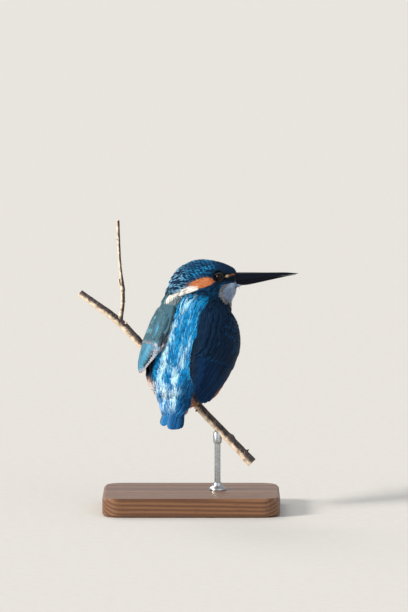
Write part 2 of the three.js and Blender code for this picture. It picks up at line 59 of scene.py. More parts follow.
# Camera and lights
camera = {
    "aim": (8, -2, 130),
    "distance": 3000,
    "elevation": 5,  # degrees above the level
    "seen": 387.3,  # height of the picture at the aim
    "sensor": 36,
}
lamps = {
    # way it comes from, strength, softness in degrees, colour
    "key": {"from": (-1150, -620, 600), "power": 4.2, "soft": 14, "colour": (1.0, 0.955, 0.89)},
    "fill": {"from": (900, -1500, 900), "power": 0.7, "soft": 60, "colour": (0.84, 0.92, 1.0)},
    "rim": {"from": (-500, 1100, 1000), "power": 1.0, "soft": 30, "colour": (1.0, 0.97, 0.92)},
}
room = {"world": 0.6, "sky": (0.93, 0.96, 1.0), "paper": "c5c2bd", "paperLight": "c9c6c1", "floor": 30000}


def placeCamera():
    aim = Vector(camera["aim"]) * mm
    tilt = math.radians(camera["elevation"])
    back = Vector((0, -math.cos(tilt), math.sin(tilt))) * camera["distance"] * mm
    data = bpy.data.cameras.new("camera")
    data.sensor_width = camera["sensor"]
    data.lens = camera["sensor"] * camera["distance"] / camera["seen"]
    data.clip_end = 100
    made = bpy.data.objects.new("camera", data)
    made.location = aim + back
    made.rotation_euler = (-back).to_track_quat("-Z", "Y").to_euler()
    scene.collection.objects.link(made)
    scene.camera = made


def placeLamps():
    for name, plan in lamps.items():
        data = bpy.data.lights.new(name, "SUN")
        data.angle = math.radians(plan["soft"])
        data.energy = plan["power"]
        data.color = plan["colour"]
        made = bpy.data.objects.new(name, data)
        made.rotation_euler = (-Vector(plan["from"])).to_track_quat("-Z", "Y").to_euler()
        scene.collection.objects.link(made)


placeCamera()
placeLamps()
scene.view_settings.view_transform = "Standard"


# Small tools
def hue(code):
    # a web colour as linear red, green and blue
    parts = np.array([int(code[i : i + 2], 16) for i in (0, 2, 4)]) / 255
    return np.where(parts <= 0.04045, parts / 12.92, ((parts + 0.055) / 1.055) ** 2.4)


def ease(low, high, value):
    t = np.clip((np.asarray(value, float) - low) / (high - low), 0, 1)
    return t * t * (3 - 2 * t)


def blend(first, second, share):
    return first + (second - first) * share


def unit(vectors):
    return vectors / np.maximum(np.linalg.norm(vectors, axis=-1, keepdims=True), 1e-9)


def dot(a, b):
    return (a * b).sum(-1, keepdims=True)


def curve(rows):
    # a smooth line through a few points that never overshoots, level beyond its ends
    at, value = np.array(rows, float).T
    gap = np.diff(at)
    rise = np.diff(value) / gap
    slope = np.concatenate([rise[:1], (rise[:-1] + rise[1:]) / 2, rise[-1:]])
    turns = np.flatnonzero(rise[:-1] * rise[1:] <= 0) + 1
    slope[turns] = 0

    def read(x):
        x = np.clip(np.asarray(x, float), at[0], at[-1])
        i = np.clip(np.searchsorted(at, x, side="right") - 1, 0, len(gap) - 1)
        t = (x - at[i]) / gap[i]
        return (
            value[i] * (1 + 2 * t) * (1 - t) ** 2
            + slope[i] * gap[i] * t * (1 - t) ** 2
            + value[i + 1] * t * t * (3 - 2 * t)
            + slope[i + 1] * gap[i] * t * t * (t - 1)
        )

    return read


def through(points):
    # a smooth line through points; it is read by a share that runs evenly from point to point
    points = np.array(points, float)
    ends = np.concatenate([[2 * points[0] - points[1]], points, [2 * points[-1] - points[-2]]])

    def read(share):
        place = np.clip(np.asarray(share, float), 0, 1) * (len(points) - 1)
        i = np.minimum(place.astype(int), len(points) - 2)
        t = (place - i)[:, None]
        a, b, c, d = (ends[i + k] for k in range(4))
        first, middle, last = (
            np.sqrt(np.linalg.norm(q - p, axis=1, keepdims=True)) for p, q in ((a, b), (b, c), (c, d))
        )
        startSlope = ((b - a) / first - (c - a) / (first + middle) + (c - b) / middle) * middle
        endSlope = ((c - b) / middle - (d - b) / (middle + last) + (d - c) / last) * middle
        return (
            b * (1 + 2 * t) * (1 - t) ** 2
            + startSlope * t * (1 - t) ** 2
            + c * t * t * (3 - 2 * t)
            + endSlope * t * t * (t - 1)
        )

    return read


def lumps(points, size, seed=0, layers=3):
    # soft random relief between about -1 and 1, made of crossed waves
    draw = np.random.default_rng(seed)
    total = np.zeros(len(points))
    for layer in range(layers):
        for _ in range(5):
            way = unit(draw.normal(size=3))
            total += np.sin(points @ way * 2 * math.pi * 2**layer / size + draw.uniform(0, 7)) / 2**layer
    return total / 4.5


# Frames: the bird's own, +Y the way it faces, and its head's, +Y along the bill
stance = {
    "perch": (-3.5, 8, 74),
    "lean": 7,
    "yaw": -8,
    "head": (3.3, -5.6, 73.9),
    "headTurn": -82,
    "headPitch": 7,
}
birdFrame = (
    Matrix.Translation(stance["perch"])
    @ Matrix.Rotation(math.radians(stance["lean"]), 4, "Y")
    @ Matrix.Rotation(math.radians(stance["yaw"]), 4, "Z")
)
headFrame = (
    birdFrame
    @ Matrix.Translation(stance["head"])
    @ Matrix.Rotation(math.radians(stance["headTurn"]), 4, "Z")
    @ Matrix.Rotation(math.radians(stance["headPitch"]), 4, "X")
)


def outOf(matrix, points):
    turn = np.array(matrix)
    return np.asarray(points, float) @ turn[:3, :3].T + turn[:3, 3]


def into(matrix, points):
    return outOf(matrix.inverted(), points)


def turned(matrix, ways):
    return np.asarray(ways, float) @ np.array(matrix)[:3, :3].T


# Materials
class Wire:
    # an output socket that can stand in a sum
    def __init__(self, look, socket):
        self.look, self.socket = look, socket

    def out(self, name):
        return Wire(self.look, self.socket.node.outputs[name])

    def maths(self, operation, *others):
        values = dict(enumerate((self, *others)))
        return self.look.node("Math", {"operation": operation}, values)

    def __add__(self, other):
        return self.maths("ADD", other)

    def __sub__(self, other):
        return self.maths("SUBTRACT", other)

    def __rsub__(self, other):
        return self.look.node("Math", {"operation": "SUBTRACT"}, {0: other, 1: self})

    def __mul__(self, other):
        return self.maths("MULTIPLY", other)

    __radd__, __rmul__ = __add__, __mul__


class Look:
    def __init__(self, name):
        self.material = bpy.data.materials.new(name)
        self.material.use_nodes = True
        self.tree = self.material.node_tree
        self.tree.nodes.clear()

    def node(self, kind, settings=None, sockets=None):
        made = self.tree.nodes.new("ShaderNode" + kind)
        for name, value in (settings or {}).items():
            if name == "stops":
                ramp = made.color_ramp
                for place, colour in value[2:]:
                    ramp.elements.new(place)
                for element, (place, colour) in zip(ramp.elements, value):
                    element.position, element.color = place, (*colour, 1)
            else:
                setattr(made, name, value)
        for name, value in (sockets or {}).items():
            if isinstance(value, Wire):
                self.tree.links.new(value.socket, made.inputs[name])
            elif isinstance(value, np.ndarray):
                made.inputs[name].default_value = (*value, 1)
            else:
                made.inputs[name].default_value = value
        return Wire(self, next((s for s in made.outputs if s.enabled), None))

    def place(self):
        return self.node("TexCoord").out("Object")

    def squashed(self, share):
        # places drawn out along an axis whose share is small
        return self.node("VectorMath", {"operation": "MULTIPLY"}, {0: self.place(), 1: share})

    def noise(self, size, detail=3, rough=0.55, vector=None):
        # size in millimetres
        sockets = {"Scale": 1 / (size * mm), "Detail": detail, "Roughness": rough}
        sockets["Vector"] = vector or self.place()
        return self.node("TexNoise", {"noise_dimensions": "3D"}, sockets)

    def lines(self, parts, scale, detail=2.0):
        # noise drawn out along feather or horn; scale is one number for each of its three parts
        drawn = dict(enumerate(part * size for part, size in zip(parts, scale)))
        sockets = {"Vector": self.node("CombineXYZ", {}, drawn), "Scale": 1.0, "Detail": detail}
        return self.node("TexNoise", {}, sockets)

    def cells(self, size, feature):
        # size in millimetres
        sockets = {"Vector": self.place(), "Scale": 1 / (size * mm)}
        return self.node("TexVoronoi", {"feature": feature}, sockets)

    def vane(self):
        # the three numbers that a mesh stores for its material
        split = self.node("SeparateXYZ", {}, {0: self.field("vane").out("Vector")})
        return split, split.out("Y"), split.out("Z")

    def band(self, value, low, high):
        # 0 below low, 1 above high
        sockets = {"Value": value, "From Min": low, "From Max": high}
        return self.node("MapRange", {"clamp": True, "interpolation_type": "SMOOTHSTEP"}, sockets)

    def mix(self, first, second, share):
        return self.node("Mix", {"data_type": "RGBA"}, {"Factor": share, 6: first, 7: second}).out(2)

    def field(self, name):
        return self.node("Attribute", {"attribute_name": name})

    def bump(self, height, depth, strength=1.0):
        # depth in millimetres
        sockets = {"Height": height, "Distance": depth * mm, "Strength": strength}
        return self.node("Bump", {}, sockets)

    def done(self, sockets):
        shader = self.node("BsdfPrincipled", {}, sockets)
        self.node("OutputMaterial", {}, {"Surface": shader})
        return self.material


def plumageLook(name, plan):
    # tint holds the markings, vane is (across, along, the feather's own number)
    look = Look(name)
    fibre = look.lines(look.vane(), (plan["barbs"], 1.5, 91))
    tone = look.noise(plan["patch"])
    share = look.band(fibre * 0.7 + tone * 0.3, 0.33, 0.68)
    tint = look.field("tint").out("Color")
    deep = look.mix(tint, hue(plan["shade"]), plan["shadeShare"])
    bright = look.mix(tint, hue(plan["light"]), plan["lightShare"])
    sockets = {
        "Base Color": look.mix(deep, bright, share),
        "Roughness": look.band(fibre, 0.2, 0.8) * -0.16 + plan["rough"],
        "Metallic": plan["metal"],
        "Specular IOR Level": plan["gloss"],
        "Sheen Weight": plan["sheen"],
        "Sheen Roughness": 0.4,
        "Normal": look.bump(fibre, plan["relief"], 0.6),
    }
    return look.done(sockets)


plumages = {
    # shade and light are mixed into the tint along the barbs, by their shares
    "blue": {"barbs": 5, "patch": 3, "shade": "04142e", "shadeShare": 0.35, "light": "7fd4f2",
             "lightShare": 0.03, "relief": 0.08, "rough": 0.55, "metal": 0.05, "gloss": 0.08, "sheen": 0.0},
    "azure": {"barbs": 7, "patch": 2.5, "shade": "045c8e", "shadeShare": 0.42, "light": "d2f6ff",
              "lightShare": 0.02, "relief": 0.1, "rough": 0.5, "metal": 0.0, "gloss": 0.07, "sheen": 0.0},
    "wing": {"barbs": 9, "patch": 4, "shade": "020c1a", "shadeShare": 0.4, "light": "6fc3d6",
             "lightShare": 0.02, "relief": 0.06, "rough": 0.55, "metal": 0.0, "gloss": 0.06, "sheen": 0.0},
    "rufous": {"barbs": 5, "patch": 3, "shade": "7a3a12", "shadeShare": 0.26, "light": "ffe2bf",
               "lightShare": 0.15, "relief": 0.08, "rough": 0.75, "metal": 0.0, "gloss": 0.25, "sheen": 0.05},
    "pale": {"barbs": 5, "patch": 3, "shade": "8d8a88", "shadeShare": 0.3, "light": "ffffff",
             "lightShare": 0.3, "relief": 0.08, "rough": 0.75, "metal": 0.0, "gloss": 0.25, "sheen": 0.05},
}
looks = {name: plumageLook(f"plumage {name}", plan) for name, plan in plumages.items()}


def skinLook():
    look = Look("feathered skin")
    tint = look.field("tint").out("Color")
    pores = look.noise(0.5, detail=2)
    colour = look.mix(tint, hue("050a14"), look.band(pores, 0.3, 0.8) * 0.35 + 0.25)
    sockets = {"Base Color": colour, "Roughness": 0.8, "Normal": look.bump(pores, 0.08)}
    return look.done(sockets)


def footLook():
    look = Look("foot skin")
    seams = look.band(look.cells(0.55, "DISTANCE_TO_EDGE"), 0.02, 0.14)
    scales = look.mix(hue("d8452c"), hue("ee7a55"), look.band(look.noise(2.2), 0.35, 0.7))
    colour = look.mix(hue("8f2416"), scales, seams)
    sockets = {"Base Color": colour, "Roughness": 0.42, "Normal": look.bump(seams, 0.05, 0.7)}
    return look.done(sockets)


looks["skin"] = skinLook()
looks["foot"] = footLook()


# Meshes from arrays
def addMesh(name, points, faces, materials, fields=None, maps=None, smooth=True, pick=None):
    # points in millimetres; faces is a list of arrays, one for each number of corners
    mesh = bpy.data.meshes.new(name)
    faces = [np.asarray(group) for group in faces if len(group)]
    corners = np.concatenate([group.ravel() for group in faces])
    counts = np.concatenate([np.full(len(group), group.shape[1]) for group in faces])
    mesh.vertices.add(len(points))
    mesh.vertices.foreach_set("co", (np.asarray(points) * mm).astype(np.float32).ravel())
    mesh.loops.add(len(corners))
    mesh.loops.foreach_set("vertex_index", corners.astype(np.int32))
    mesh.polygons.add(len(counts))
    mesh.polygons.foreach_set("loop_start", (np.cumsum(counts) - counts).astype(np.int32))
    mesh.polygons.foreach_set("use_smooth", np.full(len(counts), smooth))
    if pick is not None:
        mesh.polygons.foreach_set("material_index", pick.astype(np.int32))
    mesh.update(calc_edges=True)
    for material in materials:
        mesh.materials.append(material)
    for key, values in (fields or {}).items():
        values = np.asarray(values, np.float32)
        if key == "tint":
            layer = mesh.attributes.new(key, "FLOAT_COLOR", "POINT")
            full = np.concatenate([values, np.ones((len(values), 1), np.float32)], 1)
            layer.data.foreach_set("color", full.ravel())
        else:
            layer = mesh.attributes.new(key, "FLOAT_VECTOR", "POINT")
            layer.data.foreach_set("vector", values.ravel())
    for key, values in (maps or {}).items():
        layer = mesh.uv_layers.new(name=key)
        layer.uv.foreach_set("vector", np.asarray(values, np.float32)[corners].ravel())
    made = bpy.data.objects.new(name, mesh)
    scene.collection.objects.link(made)
    return made


def triangles(piece):
    return sum(len(face.vertices) - 2 for face in piece.data.polygons)


def tubeFaces(count, sides):
    # quads between rings of corners that close both ways
    i, j = np.meshgrid(np.arange(count), np.arange(sides), indexing="ij")
    nextI, nextJ = (i + 1) % count, (j + 1) % sides
    quads = np.stack([i * sides + j, i * sides + nextJ, nextI * sides + nextJ, nextI * sides + j], -1)
    return quads.reshape(-1, 4)


def finishPiece(piece, nodes=()):
    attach(piece, "root")
    if nodes:
        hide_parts(*nodes)
    return piece


# The skin: one closed surface inside the body's nodes, by the depth of the coat
skinPlan = {
    "nodes": ["head", "neck", "trunk", "tail", "wing_right", "wing_left", "leg_right", "leg_left",
              "foot_right", "foot_left"],
    "voxel": 0.52,
    "closing": 0.24,  # how far the nodes swell to close the gaps between them, and how far the feet do
    "footClosing": 0.08,
    "smoothing": 16,
    "footSmoothing": 2,
    "tailEnd": 0.7,  # share of the tail's length that has flesh
    # depth of the coat on each part
    "body": 1.9,
    "wing": 1.4,
    "head": 0.85,
    "face": 0.45,
    "thigh": 0.9,
    "tail": 0.9,
    "foot": 0.4,
    "waist": 2.2,  # how much narrower the rump is on its right
    "thinnest": 0.38,  # most of the body's thickness that the coat may take
    "unwrap": {"angle_limit": 1.15, "island_margin": 0.004},  # radians, share of the map
}
tailAxis = {"root": (0, -27, 15), "tip": (0, -54, -19)}
tailRoot, tailTip = np.array(tailAxis["root"], float), np.array(tailAxis["tip"], float)
tailWay = unit(tailTip - tailRoot)
tailUp = np.array((0, tailWay[2], -tailWay[1]))
tailLength = float(np.linalg.norm(tailTip - tailRoot))


def pulled(items, field, width, kind=np.float32):
    # one field of a mesh's items as rows
    flat = np.zeros(len(items) * width, kind)
    items.foreach_get(field, flat)
    return flat.reshape(-1, width)


def nodeMesh(name):
    # a node's merged corners in millimetres, and its triangles
    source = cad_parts[name].data
    co = pulled(source.vertices, "co", 3) / mm
    source.calc_loop_triangles()
    faces = pulled(source.loop_triangles, "vertices", 3, np.int32)
    _, first, where = np.unique(np.round(co, 3), axis=0, return_index=True, return_inverse=True)
    return co[first].astype(float), where.ravel()[faces]


def cornerNormals(points, faces):
    # for triangles or quads
    a, b, c = (points[faces[:, k]] for k in range(3))
    normal = np.cross(b - a, c - a)
    total = np.zeros_like(points)
    for k in range(faces.shape[1]):
        np.add.at(total, faces[:, k], normal)
    return unit(total)


def treeOf(points, faces):
    return BVHTree.FromPolygons(points.tolist(), faces.tolist())


def drawnIn(name, points, trunkTree):
    # the tail's and wings' thin ends are feathers only, so their flesh stops short
    if name == "tail":
        local = into(birdFrame, points)
        share = (local - tailRoot) @ tailWay / tailLength
        over = np.maximum(share - skinPlan["tailEnd"], 0)[:, None]
        return outOf(birdFrame, local - tailWay * over * 0.85 * tailLength)
    if name.startswith("wing"):
        local = into(birdFrame, points)
        sink = 1 - ease(18, 36, local[:, 2])
        moved = points.copy()
        for n in np.flatnonzero(sink > 0):
            near, normal, _, _ = trunkTree.find_nearest(points[n])
            inside = np.array(near) - np.array(normal) * 1.2
            moved[n] = blend(points[n], inside, sink[n])
        return moved
    return points


def relaxed(values, edges, weight, rounds):
    # each value moves towards the mean of its neighbours'
    count = np.bincount(edges.ravel(), minlength=len(values))[:, None]
    for _ in range(rounds):
        total = np.zeros_like(values)
        for k in range(values.shape[1]):
            total[:, k] = np.bincount(edges[:, 0], values[edges[:, 1], k], len(values))
            total[:, k] += np.bincount(edges[:, 1], values[edges[:, 0], k], len(values))
        values = values + weight * (total / np.maximum(count, 1) - values)
    return values


def remeshed(points, faces):
    # one closed surface of quads round everything, with its edges
    rough = addMesh("rough", points, [faces], [])
    change = rough.modifiers.new("remesh", "REMESH")
    change.mode = "VOXEL"
    change.voxel_size = skinPlan["voxel"] * mm
    source = rough.evaluated_get(bpy.context.evaluated_depsgraph_get()).to_mesh()
    co = pulled(source.vertices, "co", 3).astype(float) / mm
    quads = pulled(source.loops, "vertex_index", 1, np.int32).reshape(-1, 4)
    edges = pulled(source.edges, "vertices", 2, np.int32)
    bpy.data.objects.remove(rough)
    return co, quads, edges


def coatDepth(co, normal, shares, quads, edges):
    # how deep the skin lies at each corner, which is less where the body is thin
    parts = (("trunk", "body"), ("neck", "body"), ("wing", "wing"), ("leg", "thigh"), ("tail", "tail"),
             ("foot", "foot"))
    depth = sum(shares[part] * skinPlan[key] for part, key in parts)
    face = ease(2, 14, into(headFrame, co)[:, 1])
    depth += shares["head"] * blend(skinPlan["head"], skinPlan["face"], face)
    bird = into(birdFrame, co)
    share = (bird - tailRoot) @ tailWay / tailLength
    waist = ease(2, 8, bird[:, 0]) * ease(0.3, 0.48, share) * (1 - ease(0.66, 0.76, share))
    depth += skinPlan["waist"] * waist
    tree = treeOf(co, quads)
    for n in np.flatnonzero(depth > 0.05):
        hit = tree.ray_cast(co[n] - normal[n] * 0.05, -normal[n], 8)[3]
        if hit is not None:
            depth[n] = min(depth[n], skinPlan["thinnest"] * hit)
    return relaxed(depth[:, None], edges, 0.5, 6)


def buildSkin():
    trunkTree = treeOf(*nodeMesh("trunk"))
    points, faces, owner, swollen, start = [], [], [], [], 0
    for index, name in enumerate(skinPlan["nodes"]):
        co, tris = nodeMesh(name)
        points.append(co)
        faces.append(tris + start)
        owner.append(np.full(len(tris), index))
        start += len(co)
        closing = skinPlan["footClosing" if name.startswith("foot") else "closing"]
        swollen.append(drawnIn(name, co + cornerNormals(co, tris) * closing, trunkTree))
    cadTree = treeOf(np.concatenate(points), np.concatenate(faces))
    owner = np.concatenate(owner)
    co, quads, edges = remeshed(np.concatenate(swollen), np.concatenate(faces))
    # which node each corner belongs to, as soft shares
    label = np.array([owner[cadTree.find_nearest(p)[2]] for p in co])
    shares = {}
    for part in ("head", "neck", "trunk", "tail", "wing", "leg", "foot"):
        of = [n for n, name in enumerate(skinPlan["nodes"]) if name.startswith(part)]
        shares[part] = np.isin(label, of).astype(float)[:, None]
    bare = relaxed(shares["foot"], edges, 0.5, 3)
    co = relaxed(co, edges, 0.5 * (1 - bare), skinPlan["smoothing"])
    co = relaxed(co, edges, 0.4, skinPlan["footSmoothing"])
    for part, value in shares.items():
        shares[part] = relaxed(value, edges, 0.5, 8)[:, 0]
    normal = relaxed(cornerNormals(co, quads), edges, 0.5, 3)
    depth = coatDepth(co, normal, shares, quads, edges)
    co = relaxed(co - unit(normal) * depth, edges, 0.3, 3)
    return co, quads, edges, shares, depth[:, 0]


skinPoints, skinQuads, skinEdges, skinShares, skinDepth = buildSkin()
skinNormals = unit(relaxed(cornerNormals(skinPoints, skinQuads), skinEdges, 0.5, 6))
skinTree = treeOf(skinPoints, skinQuads)
report(f"skin of {len(skinQuads)} quads")


# Markings
palette = {
    "crown": "06284e", "crownBar": "2596cc", "navy": "03142f",
    "lore": "030409", "loreSpot": "e8c9a0",
    "orange": "d06c2a", "white": "fbf6ec",
    # throat is the white throat painted in shade, for the head's right side
    "throat": "6e93bf", "throatPale": "e4e7e6",
    "malar": "031c38", "malarBar": "0f6496",
    "azure": "00a8de", "azureDeep": "0075b8", "azurePale": "c6eefb",
    # rumpGlare is a painted highlight for the rump's left
    "rumpGlare": "d9eefa", "cobalt": "063a70",
    "rufous": "d06a22", "rufousPale": "edb27a", "flankPale": "f8ecdc", "legBrown": "8f5626",
    # tealLit, webLit and wingSpotLit are painted light: lighter, greener copies for the side that the light
    # meets
    "teal": "03263f", "tealLit": "4c7886", "web": "052a56", "webLit": "48a2c8",
    "wingSpot": "093c68", "wingSpotLit": "7cc0d2", "dusk": "060c1c", "fringe": "c9bcc0",
    "tailLight": "3585c4", "tailTip": "0a3a78",
    "pupil": "020203", "iris": "160b07",
}
palette = {name: hue(code) for name, code in palette.items()}
eye = {
    "place": (7.25, 9.4, 1.7),  # in the head's frame, for the right eye
    "radius": 3.5,
    "iris": 1.95,
    "pupil": 1.2,
    "cornea": 0.28,
    "lid": {"forward": 2.74, "up": 2.46, "thick": 0.27, "out": 0.06},
    "rings": 40,
    "sides": 48,
}
markings = {
    # places in the head's frame: forward along the bill, and up
    "cheek": {"middle": (-1.7, -2.0), "reach": (8.0, 3.0), "tilt": 13},
    "loreSpot": (14.2, 2.1),
    "loreTip": [(15.6, 2.4), (18.4, 3.3)],
    "cheekTip": {"from": (2, -0.6), "to": (7, -0.4), "half": 0.9},
    "collar": {"line": [(-5.6, -5.2), (-9.5, -5.8), (-14.5, -8.4), (-19.5, -12.4), (-23.2, -16.2)],
               "half": curve([(0, 1.4), (0.25, 2.0), (0.5, 2.0), (0.75, 1.4), (1, 0.3)])},
    "throatEdge": curve([(-17, 18), (-12.8, 13.2), (-10.2, 11.2), (-7, 11.2), (-3.8, 14.2), (-2, 17)]),
    "brow": curve([(-20, -1), (-11.3, 2.6), (-3.8, 5.2), (1.3, 7.3), (9, 8.2)]),
    # edges of the azure back: how far to the bird's right at each height in its own frame
    "azureLeft": curve([(-19, -11), (-2, -10), (4.8, -12), (8, -16), (13, -17.2), (27, -16.2), (38.7, -13.7),
                        (47.8, -10.7), (55.8, -8), (63, -5)]),
    "azureRight": curve([(-19, 9), (-8, 8.6), (-4.4, 8.6), (0, 8.8), (3.2, 9.4), (6.2, 10.2), (11, 9.8),
                         (17.3, 10.1), (30.7, 7.9), (40.3, 5.8), (50, 5), (56.6, 7.4), (63, 9)]),
    "barGap": 2.3,  # between the pale bars of the crown
    # streaks of painted highlight: their widths, and where across the back each runs at each height
    "silkWidths": (0.085, 0.1),
    "silkLeft": curve([(6, 0.17), (13, 0.22), (26, 0.21), (36, 0.18), (48, 0.25), (63, 0.42)]),
    "silkRight": curve([(9, 0.5), (20, 0.58), (30, 0.74), (40, 0.8)]),
}


def toLine(points, line):
    # distance in a plane to a bent line, and how far along it the nearest place lies
    line = np.array(line, float)
    best, along = np.full(len(points), 1e9), np.zeros(len(points))
    for i, (a, b) in enumerate(zip(line[:-1], line[1:])):
        t = np.clip(((points - a) @ (b - a)) / ((b - a) @ (b - a)), 0, 1)
        far = np.linalg.norm(points - a - t[:, None] * (b - a), axis=1)
        closer = far < best
        best[closer], along[closer] = far[closer], (i + t[closer]) / (len(line) - 1)
    return best, along


def bodyShares(bird, face):
    # the back's and underside's markings, with painted light and shade among them; places and facings are in
    # the bird's frame
    found = {}
    right, height = bird[:, 0], bird[:, 2]
    tailShare = (bird - tailRoot) @ tailWay / tailLength
    onTail = ease(0.12, 0.3, tailShare) * (1 - ease(10, 16, height))
    low, high = markings["azureLeft"](height), markings["azureRight"](height)
    inside = ease(low - 0.8, low + 0.8, right) * (1 - ease(high - 0.8, high + 0.8, right))
    upper = blend(ease(-0.12, 0.12, face[:, 2] * 0.35 - face[:, 1]), ease(-0.5, -0.25, face @ tailUp), onTail)
    beside = onTail * ease(high - 0.5, high + 0.5, right) * (1 - ease(0.66, 0.72, tailShare))
    found["azure"] = np.maximum(inside, onTail * (1 - beside)) * upper * (1 - ease(62, 67, height))
    # the thigh, and the right side of the tail's root beside the azure, whose colour paintCoat paints dark
    # higher up as shade
    found["thigh"] = beside + (1 - ease(1, 6, height)) * ease(5, 9, right) * (1 - onTail)
    flank = 1 - ease(4, 10, height + (right > 0) * 4)
    found["under"] = np.maximum(1 - ease(-0.2, 0.12, (height > 8) * 0.3 - face[:, 1]), flank)
    # painted highlight: streaks of pale glint down the back
    share = (right - low) / (high - low)
    leftGlint, rightGlint = (
        np.exp(-(((share - markings[name](height)) / width) ** 2))
        for name, width in zip(("silkLeft", "silkRight"), markings["silkWidths"])
    )
    rightGlint = 0.85 * rightGlint * (1 - ease(28, 38, height))
    found["silk"] = (leftGlint + rightGlint) * (1 - 0.3 * ease(40, 52, height))
    # painted light and shade: a painted highlight washes out the rump on its left, and painted shade deepens
    # it on its right and along the azure's right edge on the tail
    found["rump"] = (1 - ease(3, 8, height)) * (1 - ease(-4, 1, right))
    found["rumpDeep"] = (1 - ease(5, 18, height)) * ease(-1.5, 4, right)
    found["rumpRim"] = onTail * ease(high - 3, high - 0.5, right)
    found["coverts"] = ease(0.6, 0.74, tailShare) * onTail
    return found


def headShares(head, onHead):
    # the markings on both sides of the head, with places in its own frame
    found = {"crown": onHead}
    x, y, z = np.abs(head[:, 0]), head[:, 1], head[:, 2]
    side = np.stack([y, z], 1)
    throat = ease(-0.7, 0.7, y - markings["throatEdge"](z)) * (1 - ease(-3.2, -1.8, z - (y - 14) * 0.1))
    found["throat"] = throat * (z > -24)
    cheek, tip = markings["cheek"], markings["cheekTip"]
    tilt = math.radians(cheek["tilt"])
    dy, dz = y - cheek["middle"][0], z - cheek["middle"][1]
    u = (dy * math.cos(tilt) + dz * math.sin(tilt)) / cheek["reach"][0]
    v = (-dy * math.sin(tilt) + dz * math.cos(tilt)) / cheek["reach"][1]
    far, _ = toLine(side, [tip["from"], tip["to"]])
    towardsEye = 1 - ease(tip["half"] - 0.2, tip["half"] + 0.2, far)
    found["cheek"] = np.maximum(1 - ease(0.92, 1.08, np.hypot(u, v)), towardsEye) * (x > 3)
    far, along = toLine(side, markings["collar"]["line"])
    half = markings["collar"]["half"](along)
    found["collar"] = (1 - ease(half - 0.3, half + 0.3, far)) * ease(-2.5, 1, x + (y > -17) * 4)
    malar = (1 - ease(-3.2, -1.6, z - y * 0.1)) * ease(-12, -9, y) * (1 - throat)
    found["malar"] = malar * onHead
    # the dark lore runs from the eye to the bill, with a pale spot in it
    fromEye = np.hypot(y - eye["place"][1], z - eye["place"][2])
    found["lore"] = np.maximum(
        1 - ease(3.9, 4.9, fromEye + 0.5 * (z < -0.5)),
        ease(8, 10, y) * (1 - ease(2.1, 2.9, np.abs(z - 1.9 + (y - 12) * 0.12))) * (1 - ease(19, 21, y)),
    ) * (x > 2)
    spot = np.hypot((y - markings["loreSpot"][0]) / 1.15, z - markings["loreSpot"][1])
    found["loreSpot"] = (1 - ease(0.75, 1.05, spot)) * (x > 3)
    far, _ = toLine(side, markings["loreTip"])
    found["loreTip"] = (1 - ease(0.4, 0.8, far)) * (x > 3)
    brow = np.exp(-(((z - markings["brow"](y)) / 2.4) ** 2)) * (1 - ease(6, 13, y))
    # the brow band, and a painted highlight over the top of the head
    found["brow"] = np.maximum(brow, 0.45 * ease(7, 10, z))
    return found


def coatShares(points, normals):
    # how much of each marking lies at each place
    head, bird = into(headFrame, points), into(birdFrame, points)
    found = bodyShares(bird, turned(birdFrame.inverted(), normals))
    found.update(headShares(head, ease(61, 66, bird[:, 2])))
    return found, head, bird


def over(colour, top, share):
    return blend(colour, top, np.clip(share, 0, 1)[:, None])


def paintUnder(bird, own):
    rufous = blend(palette["rufous"], palette["rufousPale"], own * 0.35)
    # painted light: the low left flank, which the light meets, is painted pale cream
    flank = (1 - ease(2, 14, bird[:, 2])) * (1 - ease(-14, -7, bird[:, 0]))
    rufous = over(rufous, palette["flankPale"], flank)
    return over(rufous, palette["rufousPale"], (1 - ease(-4, 8, bird[:, 2])) * 0.5)


def paintAzure(found, bird, own):
    # dark feathers among bright ones, with streaks of painted highlight over both
    streak = lumps(bird * (1, 0.3, 0.13), 2.4, 3) * 0.5 + 0.5
    bright = (own * 0.5 + streak[:, None] * 0.8 - 0.1).clip(0, 1)
    azure = blend(palette["azureDeep"], palette["azure"], bright)
    silk = found["silk"] + (streak - 0.5) * 0.9 + (own[:, 0] - 0.5) * 0.8
    dark = ease(0.45, 0.2, own[:, 0]) * (1 - found["silk"].clip(0, 1))
    azure = over(azure, palette["cobalt"], dark * 0.6)
    # painted highlight: pale glint streaks over the azure
    azure = over(azure, palette["azurePale"], ease(0.22, 0.95, silk))
    # painted shade: the rump's lower right is painted deep blue
    deep = blend(palette["cobalt"] * 0.6, palette["azureDeep"], own * 0.5)
    azure = over(azure, deep, found["rumpDeep"] * 0.95)
    # painted highlight: the rump's lower left is painted washed-out pale
    paintedGlare = found["rump"] * ease(0.1, 0.9, own[:, 0] * 0.6 + streak * 0.4)
    azure = over(azure, palette["rumpGlare"], paintedGlare * 0.85)
    azure = over(azure, blend(palette["cobalt"], palette["tailLight"], own), found["coverts"] * 0.8)
    # painted shade: the azure's right edge on the tail is painted navy
    return over(azure, palette["navy"], found["rumpRim"] * 0.7)


def paintCrown(found, head, own):
    # pale bars, brightest over the eye and paler down the nape
    across = (head[:, 1] * 0.9 + head[:, 2] * 0.55) / markings["barGap"]
    bars = np.sin(across * 2 * math.pi + own[:, 0] * 2.4)
    nape = 1 - ease(-17, -8, head[:, 1])
    lit = (0.16 + 0.9 * found["brow"] + 0.8 * nape) * (1 - 0.92 * ease(2, 9, head[:, 1]))
    bar = blend(palette["crownBar"], palette["azurePale"], 0.35 * nape[:, None])
    crown = blend(palette["crown"], palette["navy"], own * 0.6)
    crown = over(crown, bar, ease(0, 0.8, bars) * lit)
    return over(crown, palette["navy"], ease(5, 13, head[:, 1]) * 0.85)


def paintMalar(own):
    malar = blend(palette["malar"], palette["malarBar"], (own > 0.76) * 0.42)
    return blend(malar, palette["navy"], (own < 0.4) * 0.5)


